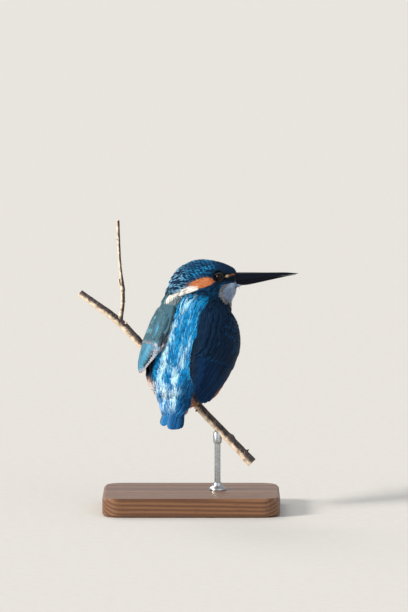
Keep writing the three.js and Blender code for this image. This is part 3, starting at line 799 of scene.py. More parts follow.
def paintCoat(points, normals, own):
    # the markings' colours at each place, with painted light and shade among them; skin and feathers share
    # them
    found, head, bird = coatShares(points, normals)
    own = own[:, None]
    # painted light: the upper left of the body, which the light meets, is painted in lighter teal
    litSide = (1 - ease(-6, 2, bird[:, 0])) * ease(28, 40, bird[:, 2])
    # painted shade: the thigh's colour darkens to dusk higher up, under the wing
    shaded = ease(-4, 2, bird[:, 2] + own[:, 0] * 2)[:, None] * 0.9
    # painted shade: the white throat is painted bluish grey towards the head's right side
    throat = blend(palette["throatPale"], palette["throat"], ease(-6, 7, head[:, 0])[:, None])
    colour = blend(palette["teal"], palette["navy"], 0.35 + own * 0.5)
    colour = over(colour, palette["tealLit"] * (0.7 + 0.3 * own), litSide * 0.8)
    # later ones lie over earlier ones
    for name, top, strength in (
        ("under", paintUnder(bird, own), 1),
        ("thigh", blend(palette["legBrown"], palette["dusk"], shaded), 1),
        ("azure", paintAzure(found, bird, own), 1),
        ("crown", paintCrown(found, head, own), 1),
        ("malar", paintMalar(own), 1),
        ("cheek", blend(palette["orange"], palette["rufousPale"], own * 0.3), 1),
        ("collar", palette["white"] * (0.9 + 0.1 * own), 1),
        ("throat", throat * (0.84 + 0.12 * own), 1),
        ("lore", palette["lore"], 1),
        ("loreTip", palette["legBrown"], 0.8),
        ("loreSpot", palette["loreSpot"], 1),
    ):
        colour = over(colour, top, found[name] * strength)
    return colour, found, head, bird


skinOwn = dice.uniform(0, 1, len(skinPoints))
skinTint, skinFound, skinHead, skinBird = paintCoat(skinPoints, skinNormals, skinOwn)


def skinPiece():
    bare = skinShares["foot"][skinQuads].mean(1) > 0.5
    made = addMesh("skin", skinPoints, [skinQuads], [looks["skin"], looks["foot"]],
                   fields={"tint": skinTint}, pick=bare)
    return finishPiece(made, skinPlan["nodes"])


skin = skinPiece()


def unwrapSkin():
    # the skin's own unwrap, which also places every feather's patch
    bpy.ops.object.select_all(action="DESELECT")
    skin.select_set(True)
    bpy.context.view_layer.objects.active = skin
    skin.data.uv_layers.new(name="OFBake")
    bpy.ops.object.mode_set(mode="EDIT")
    bpy.ops.mesh.select_all(action="SELECT")
    bpy.ops.uv.smart_project(**skinPlan["unwrap"], scale_to_bounds=True)
    bpy.ops.object.mode_set(mode="OBJECT")
    layer = skin.data.uv_layers["OFBake"]
    place = np.zeros((len(skinPoints), 2))
    place[skinQuads.ravel()] = pulled(layer.uv, "vector", 2)
    return place


skinPlace = unwrapSkin()
report("skin unwrapped")


# Small feathers: closed blades of three-sided rings, several to a feather, that run over the skin
blade = {
    "section": [(-1, 0), (0, 1), (1, 0)],  # across, rise
    "width": curve([(0, 0.5), (0.3, 1), (0.6, 0.95), (0.84, 0.62), (1, 0.1)]),
    "curl": curve([(0, 0), (0.6, 0.03), (1, -0.1)]),  # how the tip turns down
    "share": 0.78,  # how wide a blade is, next to its share of the feather's width
    "thick": (0.1, 0.05),  # at least, and with each millimetre of the feather's width
    "sink": 0.12,  # how deep its root lies in the skin
    "lie": 0.6,  # how strongly it follows the lie of the coat
    "bend": 0.45,  # it runs straight on where the skin's facing, as a cosine, turns more than this
    "stray": 2.5,  # or where the skin lies further away than this
    "loose": 1.2,  # a feather whose tip ends further off the skin isn't grown
    "patch": 0.003,  # side of a feather's patch on the unwrap
}
bladeStations = np.array([0, 0.3, 0.6, 0.84, 1])  # shares of a blade's length


def ringFaces(count, rings, sides):
    # closed tubes of rings, one for each vane, with both ends capped
    vane = np.arange(count)[:, None, None] * rings * sides
    ring = np.arange(rings - 1)[None, :, None] * sides
    one = np.arange(sides)[None, None, :]
    two = (one + 1) % sides
    base = vane + ring
    quads = np.stack([base + one, base + two, base + sides + two, base + sides + one], -1)
    first = vane[:, 0] + np.arange(sides)[None, ::-1]
    last = vane[:, 0] + (rings - 1) * sides + np.arange(sides)[None, :]
    return quads.reshape(-1, 4), np.concatenate([first, last])


def settle(points):
    # the nearest places on the skin, with its soft normals and nearest corners
    place, corner = np.empty_like(points), np.empty(len(points), int)
    for n, point in enumerate(points.tolist()):
        near, _, face, _ = skinTree.find_nearest(point)
        place[n], corner[n] = near, face
    four = skinQuads[corner]
    far = np.linalg.norm(skinPoints[four] - place[:, None], axis=2)
    corner = four[np.arange(len(four)), far.argmin(1)]
    return place, skinNormals[corner], corner


def flowOver(points, normals):
    # the lie of the coat: back from the bill on the head, towards the tail on the body
    bird = into(birdFrame, points)
    fromBill = unit(points - outOf(headFrame, [(0, 26, 1)]))
    toTail = unit(outOf(birdFrame, [tailTip + tailWay * 9]) - points)
    legs = turned(birdFrame, [(0, 0.2, -1)])
    share = ease(57, 69, bird[:, 2])[:, None]
    way = blend(toTail, fromBill, share)
    way = blend(way, legs, skinShares["leg"][:, None])
    way = relaxed(unit(way - normals * dot(way, normals)), skinEdges, 0.5, 10)
    return unit(way - normals * dot(way, normals))


skinFlow = flowOver(skinPoints, skinNormals)

tracts = {
    # length and width, gap between roots, blades, fan in degrees, height as a share of the coat's depth,
    # and, where it isn't small, how much the shade varies from blade to blade
    "crown": {"size": (4.0, 1.9), "gap": 0.85, "blades": 4, "fan": 10, "rise": 1.0, "look": "blue"},
    "cheek": {"size": (3.4, 1.5), "gap": 0.85, "blades": 4, "fan": 16, "rise": 1.1, "look": "rufous"},
    "collar": {"size": (4.4, 1.9), "gap": 0.7, "blades": 5, "fan": 12, "rise": 1.3, "look": "pale"},
    "throat": {"size": (4.2, 1.8), "gap": 0.95, "blades": 4, "fan": 18, "rise": 1.15, "look": "pale"},
    "malar": {"size": (3.6, 1.6), "gap": 0.85, "blades": 4, "fan": 12, "rise": 1.0, "look": "blue"},
    "lore": {"size": (1.9, 0.9), "gap": 0.6, "blades": 3, "fan": 12, "rise": 1.0, "look": "blue"},
    "azure": {"size": (11.5, 4.0), "gap": 1.3, "blades": 9, "fan": 15, "rise": 1.0, "look": "azure",
              "vary": 0.27},
    "cape": {"size": (8.0, 3.6), "gap": 1.5, "blades": 5, "fan": 12, "rise": 1.0, "look": "blue"},
    "breast": {"size": (9.5, 4.4), "gap": 1.6, "blades": 7, "fan": 22, "rise": 1.0, "look": "rufous"},
    "thigh": {"size": (5.0, 2.0), "gap": 1.1, "blades": 4, "fan": 20, "rise": 1.1, "look": "rufous"},
}
covertEnd = {"above": 0.79, "below": 0.68}  # share of the tail's length that its coverts reach
bareParts = {
    # how much of the foot or wing a place may hold, and how close to the eye it may lie, next to its radius
    "foot": 0.12,
    "wing": 0.75,
    "eye": 0.97,
    "horn": {"from": 21.2, "round": 4.6},  # the bill's horn, forward in the head's frame
}
chin = {
    "size": (4.4, 1.3),
    "blades": 3,
    "look": "pale",
    "count": 170,
    # forward in the head's frame, and degrees round the keel and out from the horn
    "from": 18.5,
    "to": 25.4,
    "around": 48,
    "dip": 17,
    "fan": 14,
}


def chinFeathers():
    # the pale feathers that reach forward under the bill
    count = chin["count"]
    forward = dice.uniform(chin["from"], chin["to"], count)
    angle = np.radians(dice.uniform(-chin["around"], chin["around"], count))
    gape = gapeLine(forward)
    under = gape + (billForm["bottom"](forward) - gape) * np.cos(angle) ** 0.7 + 0.3
    root = np.stack([billForm["width"](forward) * 0.85 * np.sin(angle), forward, under], 1)
    outward = np.stack([np.sin(angle), np.zeros(count), -np.cos(angle)], 1)
    feather = np.repeat(np.arange(count), chin["blades"])
    across = np.tile(np.linspace(-1, 1, chin["blades"]), count)
    dip = np.radians(chin["dip"] + dice.normal(0, 4, count) - 10 * np.abs(np.sin(angle)))[feather, None]
    up = outward[feather]
    swing = np.radians(chin["fan"] * across + dice.normal(0, 4, len(feather)))[:, None]
    sideways = np.cross(up, (0, 1, 0))
    back = np.array((0, -1.0, 0)) * np.cos(swing) + sideways * np.sin(swing)
    way = unit(back * np.cos(dip) + up * np.sin(dip))
    up = unit(up - way * dot(up, way))
    length = chin["size"][0] * dice.uniform(0.8, 1.1, count)[feather]
    place = root[feather][:, None] + way[:, None] * (length[:, None] * bladeStations)[..., None]
    place = outOf(headFrame, place.reshape(-1, 3)).reshape(place.shape)
    up, ahead = (np.repeat(turned(headFrame, v)[:, None], len(bladeStations), 1) for v in (up, way))
    _, _, corner = settle(place[:, 0])
    own = dice.uniform(0, 1, count)[feather]
    # painted shade: the pale chin is painted bluish grey towards its right side
    tint = blend(palette["throatPale"], palette["throat"], ease(-3, 4, root[:, 0])[feather, None])
    tint = tint * (0.88 + 0.12 * own[:, None])
    depth, size = np.full(len(feather), 0.2), np.ones(len(feather))
    blades = bladeRings(chin, place, up, ahead, depth, size, own, tint, corner)
    vanePiece("feathers_chin", *blades, chin["look"], slots[chin["look"]])


def chooseTracts():
    found, head = skinFound, skinHead
    tract = np.where(found["azure"] > 0.5, "azure", "cape").astype("<U8")
    tract[(found["under"] > 0.5) & (found["azure"] <= 0.5)] = "breast"
    tract[skinShares["leg"] > 0.4] = "thigh"
    for name in ("crown", "malar", "cheek", "collar", "throat", "lore"):
        tract[found[name] > 0.5] = name
    tract[found["loreSpot"] > 0.5] = "lore"
    eyeFar = np.linalg.norm(np.abs(head) * (1, 0, 0) + head * (0, 1, 1) - eye["place"], axis=1)
    none = eyeFar < eye["radius"] * bareParts["eye"]
    for part in ("foot", "wing"):
        none |= skinShares[part] > bareParts[part]
    horn = bareParts["horn"]
    none |= (head[:, 1] > horn["from"]) & (np.hypot(head[:, 0], head[:, 2] - 0.2) < horn["round"])
    for plan in wings.values():
        none |= underWing(plan, skinBird)
    tract[none] = ""
    return tract


def scatter(tract):
    # random roots that keep their distance, which is the tract's gap
    wanted = np.flatnonzero(tract != "")
    tree = KDTree(len(wanted))
    for n in wanted:
        tree.insert(skinPoints[n], n)
    tree.balance()
    gaps = {name: plan["gap"] for name, plan in tracts.items()}
    taken = np.zeros(len(skinPoints), bool)
    roots = []
    for n in dice.permutation(wanted):
        if not taken[n]:
            roots.append(n)
            for _, near, _ in tree.find_range(skinPoints[n], gaps[tract[n]]):
                taken[near] = True
    return np.array(roots)


def walk(start, way, normal, corner, lengths, swing):
    # each blade's places, normals and headings along the skin; it runs on straight past a sharp edge
    place = np.zeros((len(start), len(bladeStations), 3))
    up, ahead = place.copy(), place.copy()
    firstUp, heading = normal, way
    for r, station in enumerate(bladeStations):
        if r:
            step = (station - bladeStations[r - 1]) * lengths
            onward = start + heading * step[:, None]
            near, soft, where = settle(onward)
            close = np.linalg.norm(near - onward, axis=1) < blade["stray"]
            follows = (dot(soft, firstUp) > blade["bend"]) & close[:, None]
            start = np.where(follows, near, onward)
            normal = np.where(follows, soft, normal)
            corner = np.where(follows[:, 0], where, corner)
        turn = swing * (1 - 1.5 * station)
        flow = unit(blend(heading, skinFlow[corner], blade["lie"] if r else 1))
        sideways = unit(np.cross(flow, normal))
        heading = flow * np.cos(turn)[:, None] + sideways * np.sin(turn)[:, None]
        heading = unit(heading - normal * dot(heading, normal))
        place[:, r], up[:, r], ahead[:, r] = start, normal, heading
    return place, up, ahead


def steady(roots, plan):
    # the roots whose feathers keep to the skin or lie on the tail, and don't run under a wing
    length = np.full(len(roots), plan["size"][0])
    normal, way = skinNormals[roots], skinFlow[roots]
    place, _, _ = walk(skinPoints[roots], way, normal, roots, length, np.zeros(len(roots)))
    near, _, _ = settle(place[:, -1])
    onTail = ((skinBird[roots] - tailRoot) @ tailWay / tailLength > 0.2) & (plan["look"] == "azure")
    kept = onTail | (np.linalg.norm(near - place[:, -1], axis=1) < blade["loose"])
    if plan["look"] == "rufous":
        kept &= clearOfWings(place) > 0.5
    return roots[kept]


def bladeRings(plan, place, up, ahead, depth, size, own, tint, corner):
    # the blades' rings, colours, vane places and map places
    stations, section = bladeStations, np.array(blade["section"], float)
    width, shape = plan["size"][1], blade["width"](stations)
    rise = depth[:, None] * (stations**0.75 + blade["curl"](stations))[None] - blade["sink"] * (1 - stations)
    half = shape[None] * (width * size / plan["blades"] * blade["share"])[:, None]
    centre = place + up * rise[:, :, None]
    side = np.cross(ahead, up)
    thick = (blade["thick"][0] + blade["thick"][1] * width) * shape
    rings = (
        centre[:, :, None]
        + side[:, :, None] * (half[:, :, None] * section[:, 0])[..., None]
        + up[:, :, None] * (thick[None, :, None] * section[:, 1])[..., None]
    )
    shade = dice.normal(1, plan.get("vary", 0.08), (len(corner), 1, 1, 1)).clip(0.62, 1.4)
    fade = (0.72 + 0.28 * ease(0.1, 0.7, stations))[None, :, None, None]
    colour = np.broadcast_to(tint[:, None, None] * shade * fade, rings.shape).clip(0, 1)
    vane = np.stack(np.broadcast_arrays(section[None, None, :, 0], stations[None, :, None],
                                        own[:, None, None]), -1)
    flat = skinPlace[corner][:, None, None] + blade["patch"] * np.stack(
        np.broadcast_arrays(section[None, None, :, 0] * 0.5, stations[None, :, None] - 0.5), -1
    )
    flat = flat + np.zeros((len(corner), 1, 1, 2))
    return rings, colour, vane, flat


def besideWings(bird):
    # places under or right beside either wing
    return np.any([underWing(plan, bird, 0.5, 0.0) for plan in wings.values()], axis=0)


def clearOfWings(place):
    # how much of each blade lies before the first station that is inside a wing's outline
    share = np.ones(len(place))
    for r in range(len(bladeStations) - 1, 0, -1):
        beside = besideWings(into(birdFrame, place[:, r]))
        share = np.where(beside, (bladeStations[r - 1] + bladeStations[r]) / 2, share)
    return share.clip(0.2)


def growBlades(roots, plan):
    count = plan["blades"]
    length, width = plan["size"]
    across = np.tile(np.linspace(-1, 1, count), len(roots))
    feather = np.repeat(np.arange(len(roots)), count)
    corner = roots[feather]
    size = dice.uniform(0.85, 1.15, len(roots))[feather]
    normal, way = skinNormals[corner], skinFlow[corner]
    spin = np.radians(dice.normal(0, 4, len(roots)))[feather]
    start = skinPoints[corner] + unit(np.cross(way, normal)) * (across * width * 0.2 * size)[:, None]
    # shorter and flatter towards the tail's end and beside the thigh
    tailShare = (skinBird[corner] - tailRoot) @ tailWay / tailLength
    low = ease(0.1, 0.4, tailShare) * (skinBird[corner, 2] < 16)
    swing = np.radians(plan["fan"]) * across * (1 - 0.6 * low) + spin
    swing = swing + np.radians(dice.normal(0, 2.5, len(corner)))
    lengths = length * size * (1 - 0.2 * across**2) * dice.uniform(0.9, 1.06, len(corner)) * (1 - 0.3 * low)
    edge = skinFound["thigh"][corner].clip(0, 1)
    lengths = lengths * (1 - 0.45 * edge)
    end = covertEnd["below" if plan["look"] == "rufous" else "above"]
    room = (end + 0.03 * (size - 0.7 - across**2) - tailShare) * tailLength
    lengths = np.where(tailShare > 0.2, np.minimum(lengths, np.maximum(room, 1.5)), lengths)
    depth = skinDepth[corner] * plan["rise"] * dice.uniform(0.82, 1.12, len(roots))[feather]
    if plan["look"] == "rufous":
        lengths = lengths * clearOfWings(walk(start, way, normal, corner, lengths, swing)[0])
        depth = depth * (1 - 0.5 * low)
        swing = swing * (1 - 0.6 * low)
    place, up, ahead = walk(start, way, normal, corner, lengths, swing)
    depth = depth * dice.uniform(0.93, 1.07, len(corner))
    nape = (1 - ease(-14, -6, skinHead[roots, 1])) * ease(-12, -6, skinHead[roots, 2])
    ruffled = 1 + 1.6 * nape * (dice.uniform(0, 1, len(roots)) < 0.3)
    depth = depth * ruffled[feather] * (1 - 0.5 * edge)
    # each blade takes its colour from where it ends
    own = dice.uniform(0, 1, len(roots))[feather]
    spread = 0.3 if plan["look"] == "azure" else 0.12
    ownBlade = (own + dice.normal(0, spread, len(own))).clip(0, 1)
    tint, found, _, bird = paintCoat(place[:, 3], normal, ownBlade)
    # painted shadow: blue blades on the underparts beside a wing are painted navy
    wingShadow = besideWings(bird) & (found["under"] > 0.3) & (plan["look"] == "blue")
    tint = np.where(wingShadow[:, None], palette["navy"], tint)
    return bladeRings(plan, place, up, ahead, depth, size, own, tint, corner)


def vanePiece(name, rings, colour, vane, flat, look, slot):
    # one lot of closed vanes as one mesh
    quads, caps = ringFaces(*rings.shape[:3])
    made = addMesh(name, rings.reshape(-1, 3), [quads, caps], [looks[look]],
                   fields={"tint": colour.reshape(-1, 3), "vane": vane.reshape(-1, 3)},
                   maps={"OFBake": flat.reshape(-1, 2)})
    report(f"{name}: {triangles(made)} triangles")
    finishPiece(made)


slots = {"blue": "plumage_blue", "azure": "plumage_azure", "wing": "plumage_wing", "rufous": "plumage_rufous",
         "pale": "plumage_rufous"}
mostTriangles = 190000


def coatPieces():
    # a tract that is too large for one mesh is split by height
    tract = chooseTracts()
    roots = scatter(tract)
    chosen = tract[roots]
    for name, plan in tracts.items():
        mine = steady(roots[chosen == name], plan)
        each = plan["blades"] * (len(bladeStations) - 1) * 6 + plan["blades"] * 2
        share = int(mostTriangles / each)
        order = mine[np.argsort(skinPoints[mine][:, 2])]
        lots = max(1, math.ceil(len(order) / share))
        for number, lot in enumerate(np.array_split(order, lots)):
            title = f"feathers_{name}" + (f"_{number + 1}" if lots > 1 else "")
            vanePiece(title, *growBlades(lot, plan), plan["look"], slots[plan["look"]])


# Large feathers: closed vanes with a shaft, each with a cell of its own on the map
vaneTop = [(-1, 0), (-0.66, 0.5), (-0.3, 0.85), (-0.06, 1.05), (0, 1.35), (0.06, 1.05), (0.3, 0.85),
           (0.66, 0.5), (1, 0)]
vaneUnder = [(0.5, -0.35), (0, -0.55), (-0.5, -0.35)]
vaneSection = np.array(vaneTop + vaneUnder, float)  # across, rise
vaneStations = np.concatenate([np.linspace(0, 0.78, 10), np.linspace(0.83, 1, 7)])
vaneShape = curve([(0, 0.22), (0.14, 0.62), (0.35, 1), (0.72, 1), (0.86, 0.84), (0.95, 0.54), (1, 0.12)])
vaneThick = 0.17  # half of a large feather's thickness at its shaft


def atlas(count):
    # each feather's own square of the map, as its lowest corner, and the squares' side
    rows = math.ceil(math.sqrt(count))
    n = np.arange(count)
    return np.stack([n % rows, n // rows], 1) / rows, 1 / rows


def vaneRings(centre, side, up, half, thick, own, barbs=0.05):
    # centre, side and up: (feathers, stations, 3); half: (feathers, stations)
    wear = 1 + barbs * np.sin(np.arange(len(vaneStations)) * 2.3 + own[:, None] * 40)
    across, rise = vaneSection[:, 0], vaneSection[:, 1]
    rings = (
        centre[:, :, None]
        + side[:, :, None] * ((half * wear)[:, :, None] * across)[..., None]
        + up[:, :, None] * (thick[:, :, None] * rise)[..., None]
    )
    shape = rings.shape[:3]
    along = np.broadcast_to(vaneStations[None, :, None], shape)
    vane = np.stack([np.broadcast_to(across, shape), along, np.broadcast_to(own[:, None, None], shape)], -1)
    corner, cell = atlas(len(centre))
    flat = np.stack([0.5 + 0.42 * vane[..., 0], 0.06 + 0.88 * along], -1) * cell + corner[:, None, None]
    return rings, vane, flat


# Wings: folded quills under rows of coverts
wings = {
    # shoulder and tip: distance round the body from its side, and height; lift: how far out it stands
    "right": {"side": 1, "shoulder": (2, 54), "tip": (27.5, -4), "aft": 1.0, "square": 0.0, "pull": 1.6,
              "lift": 0.7, "tipLift": 2.4},
    "left": {"side": -1, "shoulder": (0, 52), "tip": (10, 10), "aft": 0.85, "square": 0.55, "pull": 4.0,
             "lift": 1.3, "tipLift": 5.0},
}
wingForm = {
    "fore": curve([(0, 12), (0.2, 15), (0.5, 14), (0.8, 9), (1, 4)]),
    "aft": curve([(0, 18), (0.2, 26), (0.5, 23), (0.8, 13), (1, 5)]),
    "thickness": curve([(0, 1.5), (0.25, 2.4), (0.6, 2.3), (0.9, 1.6), (1, 1.2)]),
    "hang": 4,  # height below which the wing hangs straight down
    "around": 27,  # the body's radius, to turn distances round it into angles
    "roundings": (11, 9),  # at the shoulder and at the tip
    "inside": 1.25,  # how deep the quills' roots lie under the coat
}
trunkForm = {
    "width": curve([(-9, 16.5), (0, 21.8), (10, 25), (20, 26.8), (30, 27.2), (40, 25.8), (48, 24), (56, 21),
                    (66, 16)]),
    "centre": curve([(0, 0), (20, 0.9), (40, 2.3), (60, 1.2)]),
    "back": curve([(-9, -33), (0, -36.5), (10, -37.5), (20, -36), (30, -32.5), (40, -28.5), (50, -24),
                   (60, -19.5)]),
    "front": curve([(-9, -8), (0, -2), (10, 4), (20, 9), (30, 12.5), (40, 13.5), (50, 12), (60, 8.5)]),
}


def wingLength(plan):
    return float(np.linalg.norm(np.subtract(plan["tip"], plan["shoulder"])))


def wingPoint(plan, along, behind, out):
    # along the wing from its shoulder, behind its middle line and out from the body, in millimetres
    shoulder = plan["shoulder"]
    way = unit(np.subtract(plan["tip"], shoulder).astype(float))
    around = shoulder[0] + way[0] * along - way[1] * behind
    height = shoulder[1] + way[1] * along + way[0] * behind
    level = np.maximum(height, wingForm["hang"])
    angle = around / wingForm["around"]
    front, back = trunkForm["front"](level), trunkForm["back"](level)
    x = trunkForm["centre"](level) + plan["side"] * (trunkForm["width"](level) + out) * np.cos(angle)
    y = (front + back) / 2 - ((front - back) / 2 + out) * np.sin(angle)
    return outOf(birdFrame, np.stack([x, y, height], -1).reshape(-1, 3)).reshape(*x.shape, 3)


def wingMap(plan, bird):
    # how far along and behind on the wing's map places in the bird's frame lie
    shoulder = plan["shoulder"]
    way = unit(np.subtract(plan["tip"], shoulder).astype(float))
    level = np.maximum(bird[:, 2], wingForm["hang"])
    front, back = trunkForm["front"](level), trunkForm["back"](level)
    across = (bird[:, 0] - trunkForm["centre"](level)) * plan["side"] / trunkForm["width"](level)
    aft = ((front + back) / 2 - bird[:, 1]) / ((front - back) / 2)
    offset = np.stack([np.arctan2(aft, across) * wingForm["around"], bird[:, 2]], 1) - shoulder
    return offset @ way, offset @ (-way[1], way[0])


def underWing(plan, bird, margin=1.5, start=5.0):
    # places inside the folded wing's outline, where no small feathers grow
    along, behind = wingMap(plan, bird)
    fore, aft, _ = wingEdges(plan, along.clip(0, wingLength(plan)))
    inside = (along > start) & (along < 0.92 * wingLength(plan)) & (bird[:, 0] * plan["side"] > 4)
    return inside & (behind < aft - 4) & (behind > margin - fore)


def wingEdges(plan, along):
    length = wingLength(plan)
    first, last = wingForm["roundings"]
    toEnd = np.minimum(along / first, (length - along) / last)
    shape = np.sqrt(1 - (1 - np.clip(toEnd, 0, 1)) ** 2)
    share = along / length
    return wingForm["fore"](share) * shape, wingForm["aft"](share) * plan["aft"] * shape, shape


def wingOuter(plan, along, behind):
    # the height of the folded wing's surface over the body
    share = np.clip(along / wingLength(plan), 0, 1)
    fore, aft, shape = wingEdges(plan, along)
    reach = np.maximum(np.where(behind > 0, aft, fore), 0.5)
    edge = (1 - np.clip(np.abs(behind) / reach, 0, 1) ** 2) ** 0.3
    return blend(plan["lift"], plan["tipLift"], share**2) + wingForm["thickness"](share) * edge * shape


def layWing(plan, tips, length, half, level, pull=1.25, bow=0.0, tilt=0.25):
    # feathers of one lot, all pointing towards a place past the wing's tip
    along, behind = tips
    count = len(along)
    own = dice.uniform(0, 1, count)
    goal = pull * wingLength(plan)
    way = unit(np.stack([goal - along, -behind * 0.9], 1))
    turn = np.radians(dice.normal(0, 1.6, count))
    way = np.stack([way[:, 0] * np.cos(turn) - way[:, 1] * np.sin(turn),
                    way[:, 0] * np.sin(turn) + way[:, 1] * np.cos(turn)], 1)
    sideways = np.stack([-way[:, 1], way[:, 0]], 1)
    back = (length * dice.uniform(0.96, 1.04, count))[:, None] * (1 - vaneStations)
    arc = bow * np.sin(math.pi * vaneStations)
    middle = np.stack([along, behind], 1)[:, None] - way[:, None] * back[..., None]
    middle = middle + sideways[:, None] * arc[None, :, None]

    def lift(flat):
        outer = wingOuter(plan, flat[..., 0], flat[..., 1])
        core = wingOuter(plan, middle[..., 0], middle[..., 1])
        sunk = 1 - ease(0, 0.5, vaneStations)
        return blend(outer, core, 0.5) + blend(level[:, None], -wingForm["inside"], sunk)

    offset = sideways[:, None] * (half[:, None] * vaneShape(vaneStations))[..., None]
    edges = [middle + offset * k for k in (-1, 0, 1)]
    low, core, high = (wingPoint(plan, e[..., 0], e[..., 1], lift(e) - tilt * k)
                       for k, e in zip((-1, 0, 1), edges))
    reach = (high - low) / 2
    width = np.linalg.norm(reach, axis=-1)
    side = reach / np.maximum(width, 1e-6)[..., None]
    ahead = unit(np.gradient(core, axis=1))
    up = unit(np.cross(ahead, side)) * plan["side"]
    sag = core - (high + low) / 2
    thick = vaneThick * (0.35 + 0.65 * vaneShape(vaneStations)) * np.ones((count, 1))
    rings, vane, flat = vaneRings((high + low) / 2, side, up, width, thick, own)
    dome = 1 - vaneSection[:, 0] ** 2
    rings = rings + sag[:, :, None] * dome[None, None, :, None]
    return rings, vane, flat


wingLots = {
    # tips: shares of the wing's length at its back and front edges, and how far to its edges; mm
    "quills": {"count": 17, "level": -0.3, "stack": 0.6, "length": (34, 44), "half": (4.2, 3.2),
               "tipAlong": curve([(0, 0.6), (0.25, 0.75), (0.5, 0.87), (0.7, 0.95), (0.85, 0.975), (1, 0.9)]),
               "tipBehind": curve([(0, 22), (0.25, 16.5), (0.5, 10.5), (0.7, 5.8), (0.85, 1), (1, -5.5)])},
    "greater": {"count": 13, "tips": (0.6, 0.5), "length": 17, "half": 2.9, "level": -0.12},
    "median": {"count": 14, "tips": (0.45, 0.38), "length": 12.5, "half": 2.5, "level": 0.0},
    "lesser": {"rows": (0.36, 0.29, 0.22, 0.155, 0.095, 0.04), "gap": 3.0, "length": 7.5, "half": 1.9,
               "level": 0.0},
    "scapulars": {"rows": 11, "columns": (0.66, 0.8, 0.93, 1.05), "from": 0.0, "to": 0.54, "length": 11,
                  "half": 2.0, "level": 0.22},
}


def quillTips(plan):
    # the innermost ends part way down the back edge; the outermost runs down the front edge
    f = np.linspace(0, 1, wingLots["quills"]["count"])
    share = wingLots["quills"]["tipAlong"](f)
    along = blend(share, 0.5 + 0.5 * share, plan["square"]) * wingLength(plan)
    behind = wingLots["quills"]["tipBehind"](f) * blend(1, plan["aft"], 1 - f)
    return f, along, behind


def wingTint(kind, vane, plan, f):
    # painted light and shade: the left wing, which the light meets, is painted greener and lighter, with
    # paler fringes and spots, and the right one darker, as in shade
    across, along, own = vane[..., 0:1], vane[..., 1:2], vane[..., 2:3]
    left = plan["side"] < 0
    colour = blend(palette["navy"], palette["teal"], 0.1 + 0.35 * own)
    # painted light on the left wing; the right keeps the darker colours painted as shade
    if left:
        colour = blend(colour, palette["tealLit"], 0.75)
    else:
        colour = colour * (1, 0.95, 1)
    colour = colour * (0.72 + 0.28 * ease(0.1, 0.6, along))
    if kind == "quills":
        web, webShare = (palette["webLit"], 0.75) if left else (palette["web"], 0.6)
        colour = blend(colour, web, ease(0.2, -0.2, across) * ease(0.3, 0.6, along) * webShare)
        colour = blend(colour, palette["dusk"], ease(0.1, 0.6, across) * 0.75)
        pale = ease(0.95, 0.99, along) * ease(0.05, 0.2, f) * (0.75 if left else 0.08)
        if left:
            spots = ease(0.1, 0.7, np.sin(along * 60 + own * 40) + np.sin(across * 5 + own * 90))
            pale = np.maximum(pale, ease(0.72, 0.9, along) * (1 - ease(0.3, 0.5, f)) * (0.15 + 0.5 * spots))
        colour = blend(colour, palette["fringe"], pale)
    elif kind in ("median", "lesser"):
        spot = (1 - ease(0.25, 0.6, np.abs(across))) * ease(0.7, 0.82, along)
        colour = blend(colour, palette["wingSpotLit"] if left else palette["wingSpot"], spot * (own > 0.25))
    elif kind == "greater":
        tip = palette["fringe"] if left else palette["wingSpot"]
        colour = blend(colour, tip, ease(0.84, 0.97, along) * 0.25)
    else:
        colour = blend(colour, palette["teal"] if left else palette["navy"], 0.3 * own)
    rim, rimShare = (palette["fringe"], 0.17) if left else (palette["wingSpot"], 0.12)
    edge = ease(0.9, 1.0, along) + 0.6 * ease(0.75, 1, np.abs(across))
    return blend(colour, rim, np.clip(edge, 0, 1) * rimShare)


def quillLot(plan):
    lot = wingLots["quills"]
    f, along, behind = quillTips(plan)
    tilt = blend(1.3, 0.25, ease(0, 0.2, f))[:, None]
    sizes = blend(*lot["length"], f), blend(*lot["half"], f)
    level = lot["level"] - lot["stack"] * f
    return layWing(plan, (along, behind), *sizes, level, pull=plan["pull"], bow=-0.8, tilt=tilt), f


def covertLot(kind, plan):
    # one row across the wing, from its back edge to its front
    lot = wingLots[kind]
    f = np.linspace(0, 1, lot["count"])
    along = blend(*lot["tips"], f) * wingLength(plan) + dice.normal(0, 0.35, len(f))
    fore, aft, _ = wingEdges(plan, along)
    behind = blend(aft - 2.5, -(fore - 1.2), f)
    sizes = lot["length"] * blend(1.05, 0.85, f), lot["half"] * blend(1.05, 0.85, f)
    return layWing(plan, (along, behind), *sizes, lot["level"] - 0.3 * f), f


def lesserLot(plan):
    lot, length = wingLots["lesser"], wingLength(plan)
    places = []
    for n, share in enumerate(lot["rows"]):
        fore, aft, _ = wingEdges(plan, np.array(share * length))
        row = np.arange(-fore + 0.8 + (n % 2) * lot["gap"] / 2, aft * 0.8, lot["gap"])
        places += [(share * length, b) for b in row]
    places = np.array(places) + dice.normal(0, 0.3, (len(places), 2))
    small = 0.8 + 0.2 * ease(0, 0.36, places[:, 0] / length)
    level = lot["level"] + 0.25 * (0.36 - places[:, 0] / length)
    return layWing(plan, places.T, lot["length"] * small, lot["half"] * small, level, pull=1.5), small


